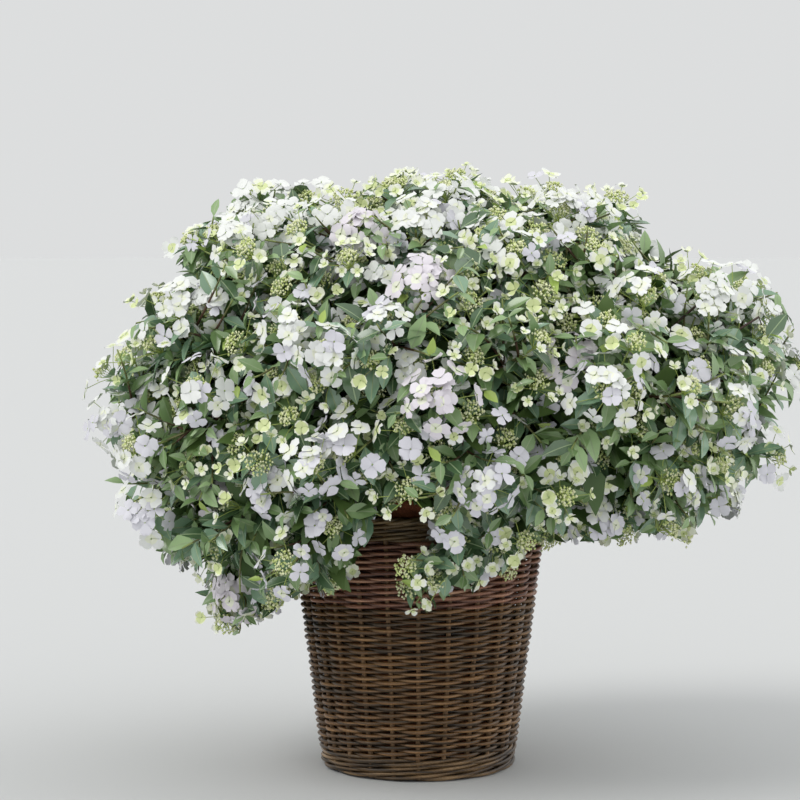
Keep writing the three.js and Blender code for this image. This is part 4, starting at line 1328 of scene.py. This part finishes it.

# Florets
# The showy florets have four broad sepals, two over two, wavy and slightly cupped, round a tiny green eye.
# Full-grown ones are white with a breath of lavender, more of it low down as painted shade; young ones are
# small cups, lemon-green at the middle.
SEPAL_ROWS = np.array([0.06, 0.36, 0.72, 1.0])
SEPAL_OUTLINE = np.array([0.18, 0.72, 1.0, 0.46])
SEPAL_WIDTH = (0.44, 0.60)
SEPAL_LAP = 0.0015
SEPAL_UNEVEN = 0.12
SEPAL_POINT = 0.10
SEPAL_NOTCH = 0.05
SEPAL_RIPPLE = 0.09
SEPAL_CURL = 0.10
SEPAL_RIPPLES = (2.2, 3)
NOTCH_FROM = 0.95
# What a floret's own wave is multiplied by, for its uneven sepals, their width and their ripples.
WAVE_MOST = 0.1
WAVE_TURNS = (140, 700, 90)
# Radii and numbers of florets, for heads that are open, young, full and blush.
FLORET_R = np.array([(0.0143, 0.0204), (0.0082, 0.0132), (0.0148, 0.0204), (0.0155, 0.0205)])
FLORETS = np.array([(4, 6), (6, 9), (9, 13), (10, 13)])
RING = 7
RING_OUT = (0.84, 1.14)
MIDST_OUT = (0.2, 0.6)
MIDST_RISE = (0.20, 0.36)
MIDST_TILT = 0.35
GROWN_RISE = (-0.34, 0.02)
YOUNG_RISE = (-0.12, 0.22)
GROWN_TILT = (45, 78)
YOUNG_TILT = (14, 62)
SMALL_CUP = (0.30, 0.75)
LARGE_CUP = (-0.02, 0.26)
LATE_SHARE = 0.16
FLORET_UP = 0.12
FLORET_SPREAD = 0.15
FLORET_FORWARD = 0.22
FLORET_RIDGE = (0.74, 0.12)
FLORET_RIDGE_BACK = (0.18, -0.08)
RING_UNEVEN = 0.14
FLORETS_CROWN = 1.05
FLORET_OFF_BASKET = 0.006
# Where florets are low in the crown, and shares of a colour high up and how much less low down.
FLORET_LOW = (0.50, 0.36)
FLORET_SIDES_HIGHER = 0.3
# Painted shade: less white and more of the darker lavender white low in the crown.
WHITE_SHARE = (0.86, 0.60)
LEMON_THROAT = (0.50, 0.28)
CREAM_THROAT = 0.5
CREAM_YOUNG = 0.62
CREAM_SECOND = (0.30, 0.18)
LEMON_SECOND = (0.28, 0.12)
EYE_R = 0.0014
EYE_RISE = 0.0012
STALK_R = 0.00065
STALK_BEND = 0.004


def florets(centre, axis, spin, size, cup, wave):
    """Four sepals on grids of four rows by three, a quarter turn apart. A row's half width follows the
    outline; the sepal rises by cup x share^1.5, its edges ripple, and every other sepal sits a little
    higher so that two lie over two."""
    side = side_of(axis)[:, None]
    other = np.cross(axis, side_of(axis))[:, None]
    turn = spin[:, None] + turns(4)
    own = 1 + SEPAL_UNEVEN * np.sin(turn * 3 + wave[:, None] * WAVE_TURNS[0])
    v = SEPAL_ROWS[:, None]
    u = np.array([-1.0, 0.0, 1.0])
    inward = 1 - np.abs(u)
    bulge = SEPAL_POINT * inward * np.sin(np.pi * v) - SEPAL_NOTCH * inward * (v > NOTCH_FROM)
    long = (size[:, None] * own)[:, :, None, None] * (v + bulge)
    wide = 0.5 + 0.5 * np.sin(wave * WAVE_TURNS[1])
    wide = SEPAL_WIDTH[0] + (SEPAL_WIDTH[1] - SEPAL_WIDTH[0]) * wide
    half = (wide * size)[:, None, None, None] * SEPAL_OUTLINE[:, None] * u
    size, cup = size[:, None, None, None], cup[:, None, None, None]
    phase = (turn * 2 + wave[:, None] * WAVE_TURNS[2])[:, :, None, None]
    ripple = np.sin(phase + SEPAL_RIPPLES[0] * u + SEPAL_RIPPLES[1] * v)
    rise = cup * size * v**1.5 + (np.arange(4) % 2 * SEPAL_LAP)[:, None, None]
    rise = rise + size * (SEPAL_RIPPLE * ripple * v - SEPAL_CURL * u**2 * v)
    ahead = np.cos(turn)[..., None] * side + np.sin(turn)[..., None] * other
    across = -np.sin(turn)[..., None] * side + np.cos(turn)[..., None] * other
    points = spread_over(centre[:, None], (long, ahead), (half, across), (rise, axis[:, None]))
    return points.reshape(-1, 3), quads_on(np.arange(len(spin) * 48).reshape(-1, 4, 4, 3), (0, 3, 2, 1))


floret_number = chance.integers(FLORETS[head_kind, 0], FLORETS[head_kind, 1] + 1)
head = np.arange(count).repeat(floret_number)
ordinal = np.concatenate([np.arange(n) for n in floret_number])
kind = head_kind[head]
grown = kind >= FULL
ring_count = np.where(grown, RING, floret_number[head])
midst = ordinal >= ring_count
many = len(head)
turn = 2 * np.pi * (ordinal + chance.normal(0, RING_UNEVEN, many)) / ring_count
turn = turn + chance.uniform(0, 6, count)[head]
out = np.where(midst, chance.uniform(*MIDST_OUT, many), chance.uniform(*RING_OUT, many))
rise = np.where(grown, chance.uniform(*GROWN_RISE, many), chance.uniform(*YOUNG_RISE, many))
out, rise = head_r[head] * out, head_r[head] * rise
rise = np.where(midst, head_r[head] * chance.uniform(*MIDST_RISE, many), rise)
floret_place = on_head(head, out, turn, rise)
ring_way = unit(floret_place - head_tips[head] - rise[:, None] * head_axis[head])
tilt = np.radians(np.where(grown, chance.uniform(*GROWN_TILT, many), chance.uniform(*YOUNG_TILT, many)))
tilt = np.where(midst, MIDST_TILT * tilt, tilt)[:, None]
floret_axis = np.cos(tilt) * head_axis[head] + np.sin(tilt) * ring_way
floret_axis = unit(floret_axis + FLORET_UP * UP + chance.normal(0, FLORET_SPREAD, (many, 3)))
ridge = rising(floret_place[:, 2], *FLORET_RIDGE) * rising(floret_place[:, 1], *FLORET_RIDGE_BACK)
floret_axis = off_back(floret_axis, ridge, FLORET_FORWARD)
floret_r = FLORET_R[kind, 0] + (FLORET_R[kind, 1] - FLORET_R[kind, 0]) * chance.uniform(0, 1, many)
late = (kind == OPEN) & (chance.uniform(0, 1, many) < LATE_SHARE)
floret_r = np.where(late, chance.uniform(*FLORET_R[YOUNG], many), floret_r)
small = (kind == YOUNG) | late
cup = np.where(small, chance.uniform(*SMALL_CUP, many), chance.uniform(*LARGE_CUP, many))
wave = chance.uniform(0, WAVE_MOST, many)
spin = chance.uniform(0, np.pi / 2, many)
fits = (crown_share(floret_place) < FLORETS_CROWN) & clear_of_planter(floret_place, FLORET_OFF_BASKET)
fits &= parted(floret_place) & (head_whole[head] | ~hides_whole(floret_place))

petal_colours = [
    plain("petal_white", (233, 235, 232), 0.5),
    # The lavender white is a real tinge and also painted shade, darker than the white.
    plain("petal_lavender_shade", (218, 217, 225), 0.5),
    plain("petal_blush", (227, 221, 228), 0.5),
    plain("petal_cream", (236, 239, 218), 0.5),
    plain("petal_lemon", (218, 228, 168), 0.5),
    plain("floret_eye", (164, 188, 112), 0.5),
    stalk_green,
]
WHITE, LAVENDER_SHADE, ROSY, CREAM, LEMON, EYE, STALK = range(7)
draw = chance.uniform(0, 1, many)
# Painted shade: low in the crown more florets are the darker lavender white. Young ones are cream or
# white, and they and those just opening have one lemon sepal, and often a cream one beside it.
low = 1 - rising(floret_place[:, 2] + FLORET_SIDES_HIGHER * np.abs(floret_place[:, 0]), *FLORET_LOW)
outer = np.where(draw < less_low(WHITE_SHARE, low), WHITE, LAVENDER_SHADE)
outer = np.where(kind == BLUSH, ROSY, outer)
outer = np.where(small, np.where(draw < CREAM_YOUNG, CREAM, WHITE), outer)
opening = (kind == OPEN) & (draw < less_low(LEMON_THROAT, low))
throat = np.where(small | opening, LEMON, np.where(draw < CREAM_THROAT, CREAM, outer))
second = np.where(small | (opening & (draw < less_low(CREAM_SECOND, low))), CREAM, outer)
second = np.where(small & (draw < less_low(LEMON_SECOND, low)), LEMON, second)
for label, members, nodes in groups:
    own = fits & np.isin(head_owner[head], members)
    centre, axis, start, lean = picked(own, floret_place, floret_axis, head_base[head], head_axis[head])
    points, quads = florets(centre, axis, *picked(own, spin, floret_r, cup, wave))
    colour = np.broadcast_to(outer[own][:, None, None, None], quads.shape[:4]).copy()
    colour[:, :, 0] = throat[own][:, None, None]
    colour[:, :, 1] = second[own][:, None, None]
    eyes = beads(centre + axis * EYE_RISE, np.full(len(centre), EYE_R), spin[own])
    bend = (start + centre) / 2 + lean * STALK_BEND
    stalks = rods(bent(start, bend, centre, 3), np.full((len(centre), 3), STALK_R), 3)
    points, faces = put_together((points, quads.reshape(-1, 4)), eyes, stalks)
    dealt = [colour.ravel(), np.full(len(eyes[1]), EYE), np.full(len(stalks[1]), STALK)]
    blossom = piece_from(f"florets_{label}", points, faces, petal_colours, dealt)
    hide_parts(*nodes)

# Studio
# A plain pale floor that runs far out and an even pale surround. Four far, soft lights stand for a bright
# overcast sky: the key at the upper left, one low in front, one overhead and one on the right.
FLOOR_R = 40.0
FLOOR_LEVEL = -0.0002
FLOOR_STEPS = 64
SURROUND = 0.80

floor_mesh = bpy.data.meshes.new("studio_floor")
rim_points = about_axis(FLOOR_R, turns(FLOOR_STEPS), FLOOR_LEVEL)
floor_mesh.from_pydata(rim_points.tolist(), [], [list(range(FLOOR_STEPS))])
floor_mesh.materials.append(plain("floor_pale", (200, 201, 201), 0.9))
floor = bpy.data.objects.new("studio_floor", floor_mesh)
bpy.context.scene.collection.objects.link(floor)


def soft_light(name, turn, lift, spread, strength, colour):
    """A far soft light: where it stands is given by its turn from the right and its lift above level, and
    spread is how wide it shows in the sky, all in degrees."""
    lamp = bpy.data.lights.new(name, "SUN")
    lamp.angle = math.radians(spread)
    lamp.energy = strength
    lamp.color = colour
    holder = bpy.data.objects.new(name, lamp)
    holder.rotation_euler = (0, math.radians(90 - lift), math.radians(turn))
    bpy.context.scene.collection.objects.link(holder)


soft_light("key", 204, 48, 30, 1.16, (1.0, 0.99, 0.965))
soft_light("front", 282, 14, 80, 0.26, (1.0, 0.995, 0.98))
soft_light("overhead", 80, 78, 100, 0.26, (0.97, 0.985, 1.0))
soft_light("far_side", 8, 34, 70, 0.74, (0.98, 0.99, 1.0))
surround = bpy.data.worlds.new("surround")
surround.use_nodes = True
backdrop = surround.node_tree.nodes["Background"]
backdrop.inputs["Color"].default_value = (0.90, 0.912, 0.915, 1)
backdrop.inputs["Strength"].default_value = SURROUND
bpy.context.scene.world = surround
bpy.context.scene.view_settings.view_transform = "Standard"
